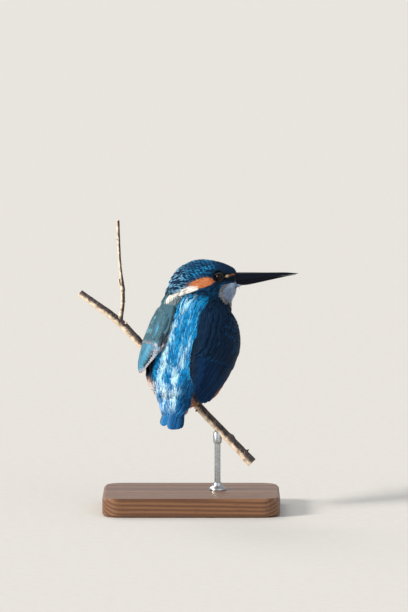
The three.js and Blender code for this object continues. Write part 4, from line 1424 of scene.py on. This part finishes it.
def scapularLot(plan):
    lot, length = wingLots["scapulars"], wingLength(plan)
    rows = np.linspace(lot["from"], lot["to"], lot["rows"])
    share, reach = (grid.ravel() for grid in np.meshgrid(rows, lot["columns"], indexing="ij"))
    share = share + 0.022 * np.tile(np.arange(len(lot["columns"])) % 2, lot["rows"])
    share = (share + dice.normal(0, 0.008, len(share))).clip(0)
    reach = reach + dice.normal(0, 0.015, len(reach))
    _, aft, _ = wingEdges(plan, share * length)
    tips = share * length, np.maximum(aft, 12) * reach
    ones = np.ones(len(share))
    level = lot["level"] + 0.3 * (0.5 - share)
    return layWing(plan, tips, lot["length"] * ones, lot["half"] * ones, level, pull=1.9), share


def wingFeathers(name, plan):
    lots = {"quills": quillLot(plan)}
    for kind in ("greater", "median"):
        lots[kind] = covertLot(kind, plan)
    lots["lesser"] = lesserLot(plan)
    lots["scapulars"] = scapularLot(plan)
    for kind, ((rings, vane, flat), f) in lots.items():
        tint = wingTint(kind, vane, plan, np.asarray(f)[:, None, None, None])
        vanePiece(f"{kind}_{name}", rings, tint, vane, flat, "wing", slots["wing"])


# Tail: stacked feathers in two groups with a gap between
tailPlan = {
    # middles of the tips, in millimetres to the bird's right
    "tips": (-5.5, -5.2, -4.9, -4.6, -0.3, 0.9, 2.0, 3.1, 4.1, 4.9, 5.5, 5.9),
    "half": 2.25,
    "shape": curve([(0, 0.6), (0.4, 0.85), (0.75, 1), (0.9, 0.97), (0.965, 0.74), (1, 0.3)]),
    "from": 0.34,  # share of the tail's length where their roots lie
    "rootSpread": 0.55,
    "shorter": 0.06,  # how much less far the outermost reach
}


def tailFeathers():
    tips = np.array(tailPlan["tips"])
    order = np.abs(tips - 0.6)
    rank = np.argsort(np.argsort(order))
    own = dice.uniform(0, 1, len(tips))
    end = 0.997 - tailPlan["shorter"] * (order / order.max()) ** 2 - 0.008 * own
    t = blend(tailPlan["from"], end[:, None], vaneStations[None])
    spread = blend(tailPlan["rootSpread"], 1, vaneStations)
    x = tips[:, None] * spread
    rise = blend(0.45, -0.5, rank / len(tips))[:, None] - 0.05 * (np.abs(x) / 8) ** 2
    local = tailRoot + tailWay * (t * tailLength)[..., None] + tailUp * rise[..., None]
    local[..., 0] += x
    shape = local.shape
    centre = outOf(birdFrame, local.reshape(-1, 3)).reshape(shape)
    side = np.broadcast_to(turned(birdFrame, [(1, 0, 0)])[0], shape)
    up = np.broadcast_to(turned(birdFrame, [tailUp])[0], shape)
    half = tailPlan["half"] * tailPlan["shape"](vaneStations) * np.ones((len(tips), 1))
    thick = vaneThick * 0.85 * np.ones_like(half)
    rings, vane, flat = vaneRings(centre, side, up, half, thick, own, 0.03)
    across, along = vane[..., 0:1], vane[..., 1:2]
    colour = blend(palette["cobalt"], palette["tailLight"], 0.25 + 0.5 * vane[..., 2:3])
    # painted light and shade: the right group is painted darker as shade and the left group lighter as lit
    colour = blend(colour, palette["navy"], 0.6 * ease(2, 6.5, tips)[:, None, None, None])
    colour = blend(colour, palette["tailLight"], 0.5 * (tips < -2)[:, None, None, None])
    colour = blend(colour, palette["azurePale"], 0.35 * (1 - ease(-0.95, -0.75, across)))
    colour = blend(colour, palette["navy"], ease(0.86, 1, np.abs(across)) * 0.5)
    colour = blend(colour, palette["navy"], (1 - ease(0.03, 0.08, np.abs(across))) * 0.55)
    colour = blend(colour, palette["tailTip"], ease(0.95, 1, along) * 0.45)
    vanePiece("tail_feathers", rings, colour, vane, flat, "wing", slots["blue"])


coatPieces()
report("small feathers")
for wingName, wingPlan in wings.items():
    wingFeathers(wingName, wingPlan)
tailFeathers()
report("wings and tail")


# Bill: two horn halves that meet along the gape
billForm = {
    "from": 12.5,
    "tips": {"upper": 59.6, "lower": 58.4},
    "gap": 0.26,
    "top": curve([(14, 4.6), (22.7, 4), (31.6, 4), (50, 4.1), (59.6, 3.5)]),
    "bottom": curve([(14, -3.2), (23, -4.2), (27, -4.0), (32.3, -3.0), (42.8, -0.7), (53.5, 1.7),
                     (58.4, 2.65)]),
    "width": curve([(14, 4.6), (22, 4.2), (30, 3.2), (40, 2.2), (50, 1.35), (59.6, 0.55)]),
    "nostril": {"forward": 21.6, "share": 0.3, "length": 1.9, "height": 0.42, "deep": 0.55},
    "rings": 84,
    "sides": 40,
}


def gapeLine(forward):
    # height where the two halves meet
    return -2.2 + (forward - 18) * 0.128


def billHalf(name):
    upper = name == "upper"
    side = 1 if upper else -1
    tip = billForm["tips"][name]
    s = np.linspace(0, 1, billForm["rings"])
    forward = blend(billForm["from"], tip, 1 - (1 - s) ** 1.25)[:, None]
    outer = billForm["top" if upper else "bottom"](forward)
    gape = gapeLine(forward)
    rise = np.abs(outer - gape) - billForm["gap"] / 2
    a = np.linspace(0, 2 * math.pi, billForm["sides"], endpoint=False)[None]
    up = np.sin(a).clip(0)
    x = np.sign(np.cos(a)) * np.abs(np.cos(a)) ** 0.8
    arch = up ** 0.9
    ridge = 0.05 * np.exp(-((x / 0.16) ** 2)) * (up > 0)  # the sharp line along the top or the keel
    groove = np.exp(-(((arch - 0.55) / 0.13) ** 2)) * (0.05 if upper else 0.03)
    fade = (1 - ease(30, 46, forward)) * ease(13, 17, forward)
    width = billForm["width"](forward) * (1 - groove * fade * (up > 0))
    x = x * width
    lip = 0.06 * np.exp(-((arch / 0.1) ** 2)) * (up > 0)
    x = x * (1 + lip)
    z = gape + side * (billForm["gap"] / 2 + rise * (arch * 0.955 + ridge * fade.clip(0.3)))
    hollow = (1 - np.abs(np.cos(a))) * (up <= 0) * (a > math.pi)
    z = z + side * hollow * 0.25 * np.minimum(rise, 1)
    if upper:
        nostril = billForm["nostril"]
        where = np.hypot(
            (forward - nostril["forward"] - (arch - nostril["share"]) * 3) / nostril["length"],
            (arch - nostril["share"]) * rise / nostril["height"] + (forward - nostril["forward"]) * 0.12,
        )
        x = x - np.sign(x) * nostril["deep"] * (1 - ease(0.5, 1.1, where)) * (up > 0)
    points = np.stack(np.broadcast_arrays(x, forward, z), -1)
    scale = 1 - ease(0.985, 1.0, s)[:, None, None] * 0.6
    middle = points.mean(1, keepdims=True)
    points = middle + (points - middle) * scale
    rings = outOf(headFrame, points.reshape(-1, 3)).reshape(1, *points.shape)
    quads, caps = ringFaces(1, billForm["rings"], billForm["sides"])
    share = np.broadcast_to(s[:, None], (billForm["rings"], billForm["sides"]))
    line = np.broadcast_to(arch, share.shape)
    vane = np.stack([line, share, np.full(share.shape, 0.3 + 0.2 * side)], -1)
    made = addMesh(f"bill_{name}_horn", rings.reshape(-1, 3), [quads, caps], [looks["horn"]],
                   fields={"vane": vane.reshape(-1, 3)})
    return finishPiece(made, [f"bill_{name}"])


def hornLook():
    look = Look("bill horn")
    arch, share, half = look.vane()
    grain = look.lines((arch, share, half), (22, 9, 50), detail=4.0)
    scuffs = look.noise(1.6, detail=4)
    colour = look.mix(hue("02040c"), hue("080f20"), look.band(grain, 0.35, 0.75))
    colour = look.mix(colour, hue("3a322e"), look.band(share + scuffs * 0.08, 0.93, 1.06) * 0.55)
    colour = look.mix(colour, hue("151a2c"), look.band(scuffs, 0.6, 0.78) * 0.3)
    rough = look.band(grain * 0.6 + scuffs * 0.4, 0.25, 0.75) * 0.18 + 0.38
    sockets = {"Base Color": colour, "Roughness": rough, "Specular IOR Level": 0.1,
               "Normal": look.bump(grain, 0.06, 0.5)}
    return look.done(sockets)


looks["horn"] = hornLook()
for half in ("upper", "lower"):
    billHalf(half)
chinFeathers()
report("bill")


# Eyes and lids
def eyeball(side):
    # rings round the line of sight, from the pupil's middle to the back
    turn = np.linspace(0, math.pi, eye["rings"])[1:-1, None]
    a = np.linspace(0, 2 * math.pi, eye["sides"], endpoint=False)[None]
    off = eye["radius"] * np.sin(turn)
    bulge = eye["cornea"] * (1 - np.clip(off / eye["iris"], 0, 1) ** 2) * (turn < 1.5)
    radius = eye["radius"] + bulge
    x, y, z = eye["place"]
    points = np.stack(
        [
            side * (x + radius * np.cos(turn) * np.ones_like(a)),
            y + radius * np.sin(turn) * np.cos(a),
            z + radius * np.sin(turn) * np.sin(a),
        ],
        -1,
    )
    quads, caps = ringFaces(1, eye["rings"] - 2, eye["sides"])
    front = turn < 1.5
    off = np.broadcast_to(np.where(front, off, eye["radius"]), points.shape[:2])[..., None]
    colour = blend(palette["pupil"], palette["iris"], ease(eye["pupil"] - 0.1, eye["pupil"] + 0.1, off))
    colour = blend(colour, palette["pupil"], ease(eye["iris"] - 0.15, eye["iris"] + 0.1, off))
    name = "right" if side > 0 else "left"
    points = outOf(headFrame, points.reshape(-1, 3))
    made = addMesh(f"eyeball_{name}", points, [quads[:, ::-side], caps[:, ::-side]], [looks["eye"]],
                   fields={"tint": colour.reshape(-1, 3)})
    finishPiece(made, [f"eye_{name}"])


def lidRing(side):
    # a soft wrinkled rim that hugs the ball, pointed a little at both corners
    lid = eye["lid"]
    x, y, z = eye["place"]
    a = np.linspace(0, 2 * math.pi, 96, endpoint=False)
    b = np.linspace(0, 2 * math.pi, 12, endpoint=False)
    fromCorner = np.minimum(np.abs(a - math.pi), np.minimum(a, 2 * math.pi - a))
    corner = 1 + 0.1 * np.exp(-((fromCorner / 0.3) ** 2))
    forward, up = lid["forward"] * np.cos(a) * corner, lid["up"] * np.sin(a)
    on = np.stack([np.sqrt(np.maximum(eye["radius"] ** 2 - forward**2 - up**2, 0.5)), forward, up], 1)
    normal = unit(on)
    outward = np.stack([np.zeros_like(a), forward, up], 1)
    outward = unit(outward - normal * dot(outward, normal))
    crease = 1 + 0.12 * np.sin(a * 23) * np.sin(a * 7 + 1)
    thick = lid["thick"] * crease
    points = (
        on[:, None]
        + normal[:, None] * (lid["out"] + np.sin(b)[None] * thick[:, None])[..., None]
        + outward[:, None] * (np.cos(b)[None] * thick[:, None] * 1.35)[..., None]
    )
    points = (points + (x, y, z)) * (side, 1, 1)
    quads = tubeFaces(*points.shape[:2])[:, ::side]
    name = "right" if side > 0 else "left"
    made = addMesh(f"lid_{name}", outOf(headFrame, points.reshape(-1, 3)), [quads], [looks["lid"]])
    finishPiece(made)


def eyeLook():
    look = Look("wet eye")
    rays = look.noise(0.35, detail=4)
    tint = look.field("tint").out("Color")
    colour = look.mix(tint, hue("3d2314"), look.band(rays, 0.5, 0.75) * 0.15)
    sockets = {"Base Color": colour, "Roughness": 0.1, "Coat Weight": 0.14, "Coat Roughness": 0.02,
               "Specular IOR Level": 0.08}
    return look.done(sockets)


def lidLook():
    look = Look("bare lid")
    folds = look.noise(0.4, detail=4)
    colour = look.mix(hue("040508"), hue("14161d"), look.band(folds, 0.35, 0.75))
    return look.done({"Base Color": colour, "Roughness": 0.7, "Normal": look.bump(folds, 0.1, 0.7)})


looks["eye"] = eyeLook()
looks["lid"] = lidLook()
for side in (1, -1):
    eyeball(side)
    lidRing(side)
report("eyes")


# Claws: the nodes' own shapes in dark horn
def clawLook():
    look = Look("claw horn")
    grain = look.noise(0.5, detail=4)
    tone = look.mix(hue("160f0d"), hue("3d2b24"), look.band(grain, 0.35, 0.7))
    return look.done({"Base Color": tone, "Roughness": 0.3, "Normal": look.bump(grain, 0.04, 0.5)})


def wear(name, look):
    # the node keeps its shape and takes a material
    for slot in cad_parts[name].material_slots:
        slot.material = look


looks["claw"] = clawLook()
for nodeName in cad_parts:
    if nodeName.startswith("claw_"):
        wear(nodeName, looks["claw"])


# Feet: toes and shanks under rings of horny plates, closed round the branch
feet = {
    "toes": {
        # where each ends round the branch in degrees, and how far along it the toe starts and ends
        "inner": (22, -1.2, -3.2),
        "middle": (-36, 0, -0.6),
        "outer": (-22, 1.2, 1.7),
        "hind": (226, 0.4, 1.2),
    },
    "sides": {
        # side, share of the branch's length, and the ankle in the bird's frame
        "right": (1, 0.572, (6.2, -7.8, -3.7)),
        "left": (-1, 0.462, (-8.4, -5.6, 3.5)),
    },
    "palm": 122,  # degrees round the branch
    "toe": 1.0,
    "knuckle": 0.1,
    "sole": (1.5, 5.4),  # radius and length
    "shank": 1.32,
    "clear": 0.3,
    "plates": {"toe": 11, "hind": 9, "shank": 6},
    "relief": 0.13,
    "round": 20,
}


def platedTube(path, top, radius, plates, own, ends):
    # overlapping plates along its back and soft pads below
    count = len(path)
    s = np.linspace(0, 1, count)
    a = np.linspace(0, 2 * math.pi, feet["round"], endpoint=False)
    ahead = unit(np.gradient(path, axis=0))
    side = unit(np.cross(ahead, top))
    top = np.cross(side, ahead)
    upper = ease(-0.45, 0.35, np.cos(a))[None]
    phase = (s * plates) % 1
    plate = (phase**0.7 - 0.7 * ease(0.86, 1, phase) * phase - 0.35)[:, None] * upper * feet["relief"]
    pad = np.sin(s * plates * 0.5 * math.pi)[:, None] ** 2 * (1 - upper) * feet["relief"] * 0.8
    length = np.linalg.norm(np.diff(path, axis=0), axis=1).sum()
    toEnd = np.minimum(s, 1 - s) * length / ends
    shape = np.sqrt(1 - (1 - toEnd.clip(0, 1)) ** 2).clip(0.12)[:, None]
    r = (radius(s)[:, None] + plate + pad) * shape
    rings = path[:, None] + r[..., None] * (
        top[:, None] * np.cos(a)[None, :, None] + side[:, None] * np.sin(a)[None, :, None]
    )
    seam = ease(0.8, 0.92, phase)[:, None] * upper
    field = np.stack(np.broadcast_arrays(seam, upper * np.ones((count, 1)), own), -1)
    quads, caps = ringFaces(1, count, feet["round"])
    return rings.reshape(-1, 3), quads, caps, field.reshape(-1, 3)


def footPieces(name, side, along, ankle):
    read, thickness = through(perch["branch"]["line"]), perch["branch"]["radius"]
    near = read(np.array([along - 0.001, along, along + 0.001]))
    centre, down = near[1], unit(near[2] - near[0])
    away = unit(np.array((0, 1, 0)) - down * down[1])
    up = np.cross(down, away)
    thick = float(thickness(along))

    def around(angle, far, shift):
        turn = np.radians(angle)[:, None]
        out = away * np.cos(turn) + up * np.sin(turn)
        return centre + down * shift[:, None] + out * far, out

    def toeRadius(s):
        return feet["toe"] * (1 + feet["knuckle"] * np.cos(s * 6 * math.pi))

    parts = []
    for n, (toe, (end, start, finish)) in enumerate(feet["toes"].items()):
        plates = feet["plates"]["hind" if toe == "hind" else "toe"]
        t = np.linspace(0, 1, plates * 6 + 1)
        far = thick + feet["clear"] + feet["toe"] - 0.04
        path, out = around(blend(feet["palm"], end, t), far, blend(start, finish, t) * side)
        parts.append(platedTube(path, out, toeRadius, plates, n / 4, 0.6))
    radius, length = feet["sole"]
    t = np.linspace(0, 1, 25)
    palm, out = around(np.full(25, feet["palm"]), thick + feet["clear"] + radius, (t - 0.5) * length)
    parts.append(platedTube(palm, out, lambda s: radius + s * 0, 5, 0.5, radius))
    bottom, top = palm[12], outOf(birdFrame, [ankle])[0]
    path = blend(bottom, top, np.linspace(0, 1, 37)[:, None])
    parts.append(platedTube(path, np.broadcast_to(out[:1], path.shape), lambda s: feet["shank"] + s * 0,
                            feet["plates"]["shank"], 0.8, 0.8))
    joinTubes(f"scutes_{name}", parts, looks["scutes"])


def scuteLook():
    look = Look("foot scutes")
    seam, upper, _ = look.vane()
    tone = look.noise(1.1, detail=4)
    grain = look.noise(0.16, detail=3)
    back = look.mix(hue("d03a22"), hue("ee6a42"), look.band(tone, 0.35, 0.7))
    colour = look.mix(hue("e07a52"), back, look.band(upper, 0.2, 0.8))
    colour = look.mix(colour, hue("8a2415"), look.band(seam + grain * 0.2, 0.35, 1.0) * 0.75)
    sockets = {"Base Color": colour, "Roughness": look.band(grain, 0.3, 0.7) * 0.15 + 0.38,
               "Specular IOR Level": 0.3, "Normal": look.bump(grain, 0.03, 0.5)}
    return look.done(sockets)


looks["scutes"] = scuteLook()


# Perch: a cut length of bark-covered branch with one upright twig
perch = {
    "branch": {
        "line": [(-71, 23, 136), (-45.8, 18, 118), (-33.5, 15, 105.5), (-3.5, 8, 74), (6, 5.8, 63.5),
                 (32, 1, 36.8), (38.5, 0, 30)],
        "radius": curve([(0, 2.3), (0.25, 2.6), (0.5, 2.6), (0.75, 2.8), (1, 3.2)]),
        "rings": 330,
        "sides": 48,
        "relief": 0.2,
        # share of the stem's length and way out of each; how large, how deep and from which seed
        "buds": [(0.2, (0.5, -0.5, 0.7)), (0.66, (-0.7, -0.5, -0.4)), (0.86, (0.7, 0.3, 0.6))],
        "bud": (0.9, 0.5, 70),
    },
    "twig": {
        "line": [(-45.8, 18, 118), (-43.9, 17.8, 128), (-43.8, 17.5, 139), (-45.6, 17, 156.6),
                 (-46.8, 16.6, 183)],
        "radius": curve([(0, 2.2), (0.12, 1.45), (0.45, 1.3), (0.5, 1.55), (0.55, 1.2), (1, 1)]),
        "rings": 170,
        "sides": 28,
        "relief": 0.1,
        "buds": [(0.3, (0.8, -0.3, 0.6)), (0.72, (0.8, -0.3, 0.7)), (0.88, (-0.8, -0.3, 0.7))],
        "bud": (0.62, 0.3, 80),
    },
    "knots": [
        # share of the branch's length, way out, size
        (0.33, (-0.4, -0.3, 0.8), 1.9), (0.78, (0.6, -0.3, 0.7), 1.8), (0.9, (-0.5, -0.6, -0.4), 1.7),
    ],
    "sunk": 0.7,  # how deep a knot's middle lies
    "spur": {"along": 0.52, "line": [(0, 0, 0), (-1.6, -0.4, 2.4), (-2.3, -0.5, 5.2)],
             "radius": curve([(0, 0.95), (0.6, 0.6), (1, 0.7)])},
    "lit": (-0.78, -0.1, -0.62),  # the side painted pale as lit, whose far side is painted dark as shade
}


def stem(read, radius, rings, sides, relief, seed, swell=None):
    # a tube along a line with barky relief; its sawn ends close on small inner rings
    share = np.linspace(0, 1, rings)
    centre = read(share)
    ahead = unit(np.gradient(centre, axis=0))
    side = unit(np.array([0, 1, 0.0]) - ahead * ahead[:, 1:2])
    up = np.cross(ahead, side)
    a = np.linspace(0, 2 * math.pi, sides, endpoint=False)
    out = side[:, None] * np.cos(a)[None, :, None] + up[:, None] * np.sin(a)[None, :, None]
    points, ways = (centre[:, None] + out * radius(share)[:, None, None]).reshape(-1, 3), out.reshape(-1, 3)
    stretched = points * 0.35 + ways * radius(share).repeat(sides)[:, None] * 0.65
    grown = relief * (lumps(stretched, 2.6, seed) * 0.6 + lumps(points, 1.1, seed + 1) * 0.4)
    if swell is not None:
        grown = grown + swell(points)
    grid = (points + ways * grown[:, None]).reshape(rings, sides, 3)
    caps = []
    for end, way in ((0, -1), (-1, 1)):
        for scale, push in ((0.93, 0.1), (0.6, 0.05), (0.25, 0.08), (0.04, 0.0)):
            caps.append(centre[end] + (grid[end] - centre[end]) * scale + ahead[end] * way * push)
    grid = np.concatenate([np.array(caps[3::-1]), grid, np.array(caps[4:])])
    barkShare = np.concatenate([np.zeros(4), np.ones(rings), np.zeros(4)])
    heart = np.concatenate([[0.04, 0.25, 0.6, 0.93], np.ones(rings), [0.93, 0.6, 0.25, 0.04]])
    outward = np.concatenate([np.repeat(out[:1], 4, 0), out, np.repeat(out[-1:], 4, 0)])
    quads, ends = ringFaces(1, rings + 8, sides)
    # the bark's share, the depth towards the heart, and how far each place faces the side painted as lit
    field = np.stack(
        [
            np.broadcast_to(barkShare[:, None], grid.shape[:2]),
            np.broadcast_to(heart[:, None], grid.shape[:2]),
            outward @ unit(np.array(perch["lit"])),
        ],
        -1,
    )
    return grid.reshape(-1, 3), quads, ends, field.reshape(-1, 3)


def joinTubes(name, stems, look, nodes=()):
    points, quads, caps, fields, start = [], [], [], [], 0
    for co, side, end, field in stems:
        points.append(co)
        quads.append(side + start)
        caps.append(end + start)
        fields.append(field)
        start += len(co)
    made = addMesh(name, np.concatenate(points), [*quads, *caps], [look],
                   fields={"vane": np.concatenate(fields)})
    return finishPiece(made, nodes)


def knotSwell(read, radius):
    middles = []
    for share, way, size in perch["knots"]:
        at = np.array([share])
        middles.append((read(at)[0] + unit(np.array(way, float)) * (radius(at)[0] - perch["sunk"]), size))

    def grow(points):
        total = np.zeros(len(points))
        for middle, size in middles:
            near = np.linalg.norm(points - middle, axis=1)
            total = np.maximum(total, size * 0.62 * np.exp(-((near / size) ** 2) * 1.1))
            total -= 0.35 * np.exp(-(((near - 0.2) / 0.7) ** 2)) * (near < 2)
        return total

    return grow


def budStems(plan, read):
    # small pointed buds of a few scales
    size, sunk, seed = plan["bud"]
    shape = curve([(0, 0.55), (0.3, 0.8), (0.65, 0.6), (1, 0.12)])
    made = []
    for n, (share, way) in enumerate(plan["buds"]):
        at = np.array([share])
        way = unit(np.array(way, float))
        root = read(at)[0] + way * (plan["radius"](at)[0] - sunk)
        line = through([root, root + way * size, root + way * size * 2.2])
        made.append(stem(line, lambda s: shape(s) * size, 22, 16, 0.06, seed + n))
    return made


def barkLook():
    look = Look("bark")
    onBark, heart, lit = look.vane()
    coarse = look.noise(3.2, detail=5, rough=0.65)
    fine = look.noise(0.5, detail=4)
    pores = look.cells(1.9, "F1")
    # painted light and shade: the bark is painted dark on the side away from the light and pale on the side
    # it meets
    dark = look.mix(hue("2b2526"), hue("574b48"), look.band(coarse, 0.35, 0.7))
    dark = look.mix(dark, hue("776a62"), look.band(fine, 0.55, 0.8) * 0.4)
    pale = look.mix(hue("b09474"), hue("efdcc4"), look.band(coarse * 0.5 + fine * 0.5, 0.34, 0.6))
    share = look.band(lit + (coarse - 0.5) * 1.3 + (fine - 0.5) * 0.6, -0.15, 0.8)
    colour = look.mix(dark, pale, share)
    colour = look.mix(colour, hue("b9b39c"), look.band(pores * -1.0, -0.16, -0.1) * 0.65)
    rings = look.node("Math", {"operation": "SINE"}, {0: heart * 34 + coarse * 3})
    wood = look.mix(hue("c9a878"), hue("e5cfa6"), look.band(rings, -0.6, 0.8))
    wood = look.mix(hue("6b4a30"), wood, look.band(heart, 0.06, 0.2))
    colour = look.mix(wood, colour, look.band(onBark, 0.4, 0.8))
    height = coarse * 0.6 + fine * 0.4
    return look.done({"Base Color": colour, "Roughness": look.band(fine, 0.3, 0.8) * -0.1 + 0.88,
                      "Normal": look.bump(height, 0.25, 0.8), "Specular IOR Level": 0.3})


looks["bark"] = barkLook()


def mainStem(plan, seed, read, swell=None):
    return stem(read, plan["radius"], plan["rings"], plan["sides"], plan["relief"], seed, swell)


def perchPieces():
    plan = perch["branch"]
    read = through(plan["line"])
    stems = [mainStem(plan, 61, read, knotSwell(read, plan["radius"])), *budStems(plan, read)]
    joinTubes("perch_bark", stems, looks["bark"], ["perch_branch"])
    plan, spur = perch["twig"], perch["spur"]
    read = through(plan["line"])
    line = read(np.array([spur["along"]]))[0] + np.array(spur["line"])
    stems = [mainStem(plan, 63, read), stem(through(line), spur["radius"], 40, 18, 0.06, 64)]
    joinTubes("twig_bark", [*stems, *budStems(plan, read)], looks["bark"], ["perch_twig"])


perchPieces()
for footName, (footSide, footAlong, footAnkle) in feet["sides"].items():
    footPieces(footName, footSide, footAlong, footAnkle)
report("perch and feet")


# Stand: wood base and steel rod keep their nodes; a turned collar and a sleeve are added
stand = {
    "rodRadius": 2.0,
    "collar": [(2.05, 12.0), (5.2, 12.0), (5.4, 12.4), (5.2, 13.4), (4.2, 14.2), (3.2, 14.8), (2.9, 16.2),
               (2.75, 16.8), (2.05, 17.0)],
    # the sleeve under the branch, whose top is this far below the rod's
    "sleeve": {"height": 7, "radius": 2.75, "below": 1.2},
    "gap": 0.05,
}


def lathe(name, rows, middle, look, sides=64):
    a = np.linspace(0, 2 * math.pi, sides, endpoint=False)
    radius, height = np.array(rows, float).T
    grid = np.stack(
        [
            middle[0] + radius[:, None] * np.cos(a),
            middle[1] + radius[:, None] * np.sin(a),
            np.broadcast_to(height[:, None], (len(rows), sides)),
        ],
        -1,
    )
    made = addMesh(name, grid.reshape(-1, 3), [tubeFaces(len(rows), sides)], [look])
    made.data.set_sharp_from_angle(angle=math.radians(32))
    return finishPiece(made)


def woodLook():
    # straight grain along the board and arcs on its ends, from a heart far below it
    look = Look("oiled wood")
    at = look.squashed((0.08, 1.0, 1.0))
    wander = look.noise(30, rough=0.5, vector=at)
    fine = look.noise(0.7, rough=0.5, vector=at)
    heart = look.node("VectorMath", {"operation": "DISTANCE"}, {0: at, 1: (0, 0.012, -0.07)}).out("Value")
    rings = look.node("Math", {"operation": "SINE"}, {0: heart * 2600 + wander * 22})
    colour = look.mix(hue("5a3820"), hue("7a5233"), look.band(rings, -0.9, 0.9))
    colour = look.mix(colour, hue("2d1a0f"), look.band(fine, 0.52, 0.75) * 0.5)
    rough = look.band(fine, 0.3, 0.8) * 0.15 + 0.36
    return look.done({"Base Color": colour, "Roughness": rough, "Normal": look.bump(fine, 0.06, 0.5)})


def steelLook():
    look = Look("brushed steel")
    brush = look.noise(0.14, rough=0.5, vector=look.squashed((0.06, 0.06, 1.0)))
    colour = look.mix(hue("8d9194"), hue("c3c6c8"), look.band(brush, 0.3, 0.7))
    sockets = {"Base Color": colour, "Roughness": look.band(brush, 0.2, 0.8) * 0.18 + 0.22, "Metallic": 1.0,
               "Normal": look.bump(brush, 0.015, 0.4)}
    return look.done(sockets)


looks["wood"] = woodLook()
looks["steel"] = steelLook()
wear("stand_base", looks["wood"])
wear("stand_rod", looks["steel"])


def standFittings():
    low, high = (np.array(corner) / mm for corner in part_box("stand_rod"))
    middle = (low + high)[:2] / 2
    lathe("stand_collar", stand["collar"], middle, looks["steel"])
    sleeve, bore = stand["sleeve"], stand["rodRadius"] + stand["gap"]
    top = high[2] - sleeve["below"]
    foot = top - sleeve["height"]
    rows = [(bore, foot), (sleeve["radius"] - 0.4, foot), (sleeve["radius"], foot + 0.5),
            (sleeve["radius"], top - 0.5), (sleeve["radius"] - 0.3, top), (bore, top)]
    lathe("stand_sleeve", rows, middle, looks["steel"])


standFittings()
report("stand")


# Floor and surrounding light
def floorLook():
    look = Look("paper floor")
    mottle = look.noise(6, detail=2)
    colour = look.mix(hue(room["paper"]), hue(room["paperLight"]), look.band(mottle, 0.2, 0.8))
    return look.done({"Base Color": colour, "Roughness": 0.9, "Specular IOR Level": 0.1})


def buildRoom():
    far = room["floor"]
    corners = np.array([(-far, -far, 0), (far, -far, 0), (far, far, 0), (-far, far, 0)], float)
    floor = addMesh("floor", corners, [np.array([[0, 1, 2, 3]])], [floorLook()], smooth=False)
    world = bpy.data.worlds.new("studio")
    world.use_nodes = True
    backdrop = world.node_tree.nodes["Background"]
    backdrop.inputs["Color"].default_value = (*room["sky"], 1)
    backdrop.inputs["Strength"].default_value = room["world"]
    scene.world = world


buildRoom()
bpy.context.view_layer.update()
report("finished")
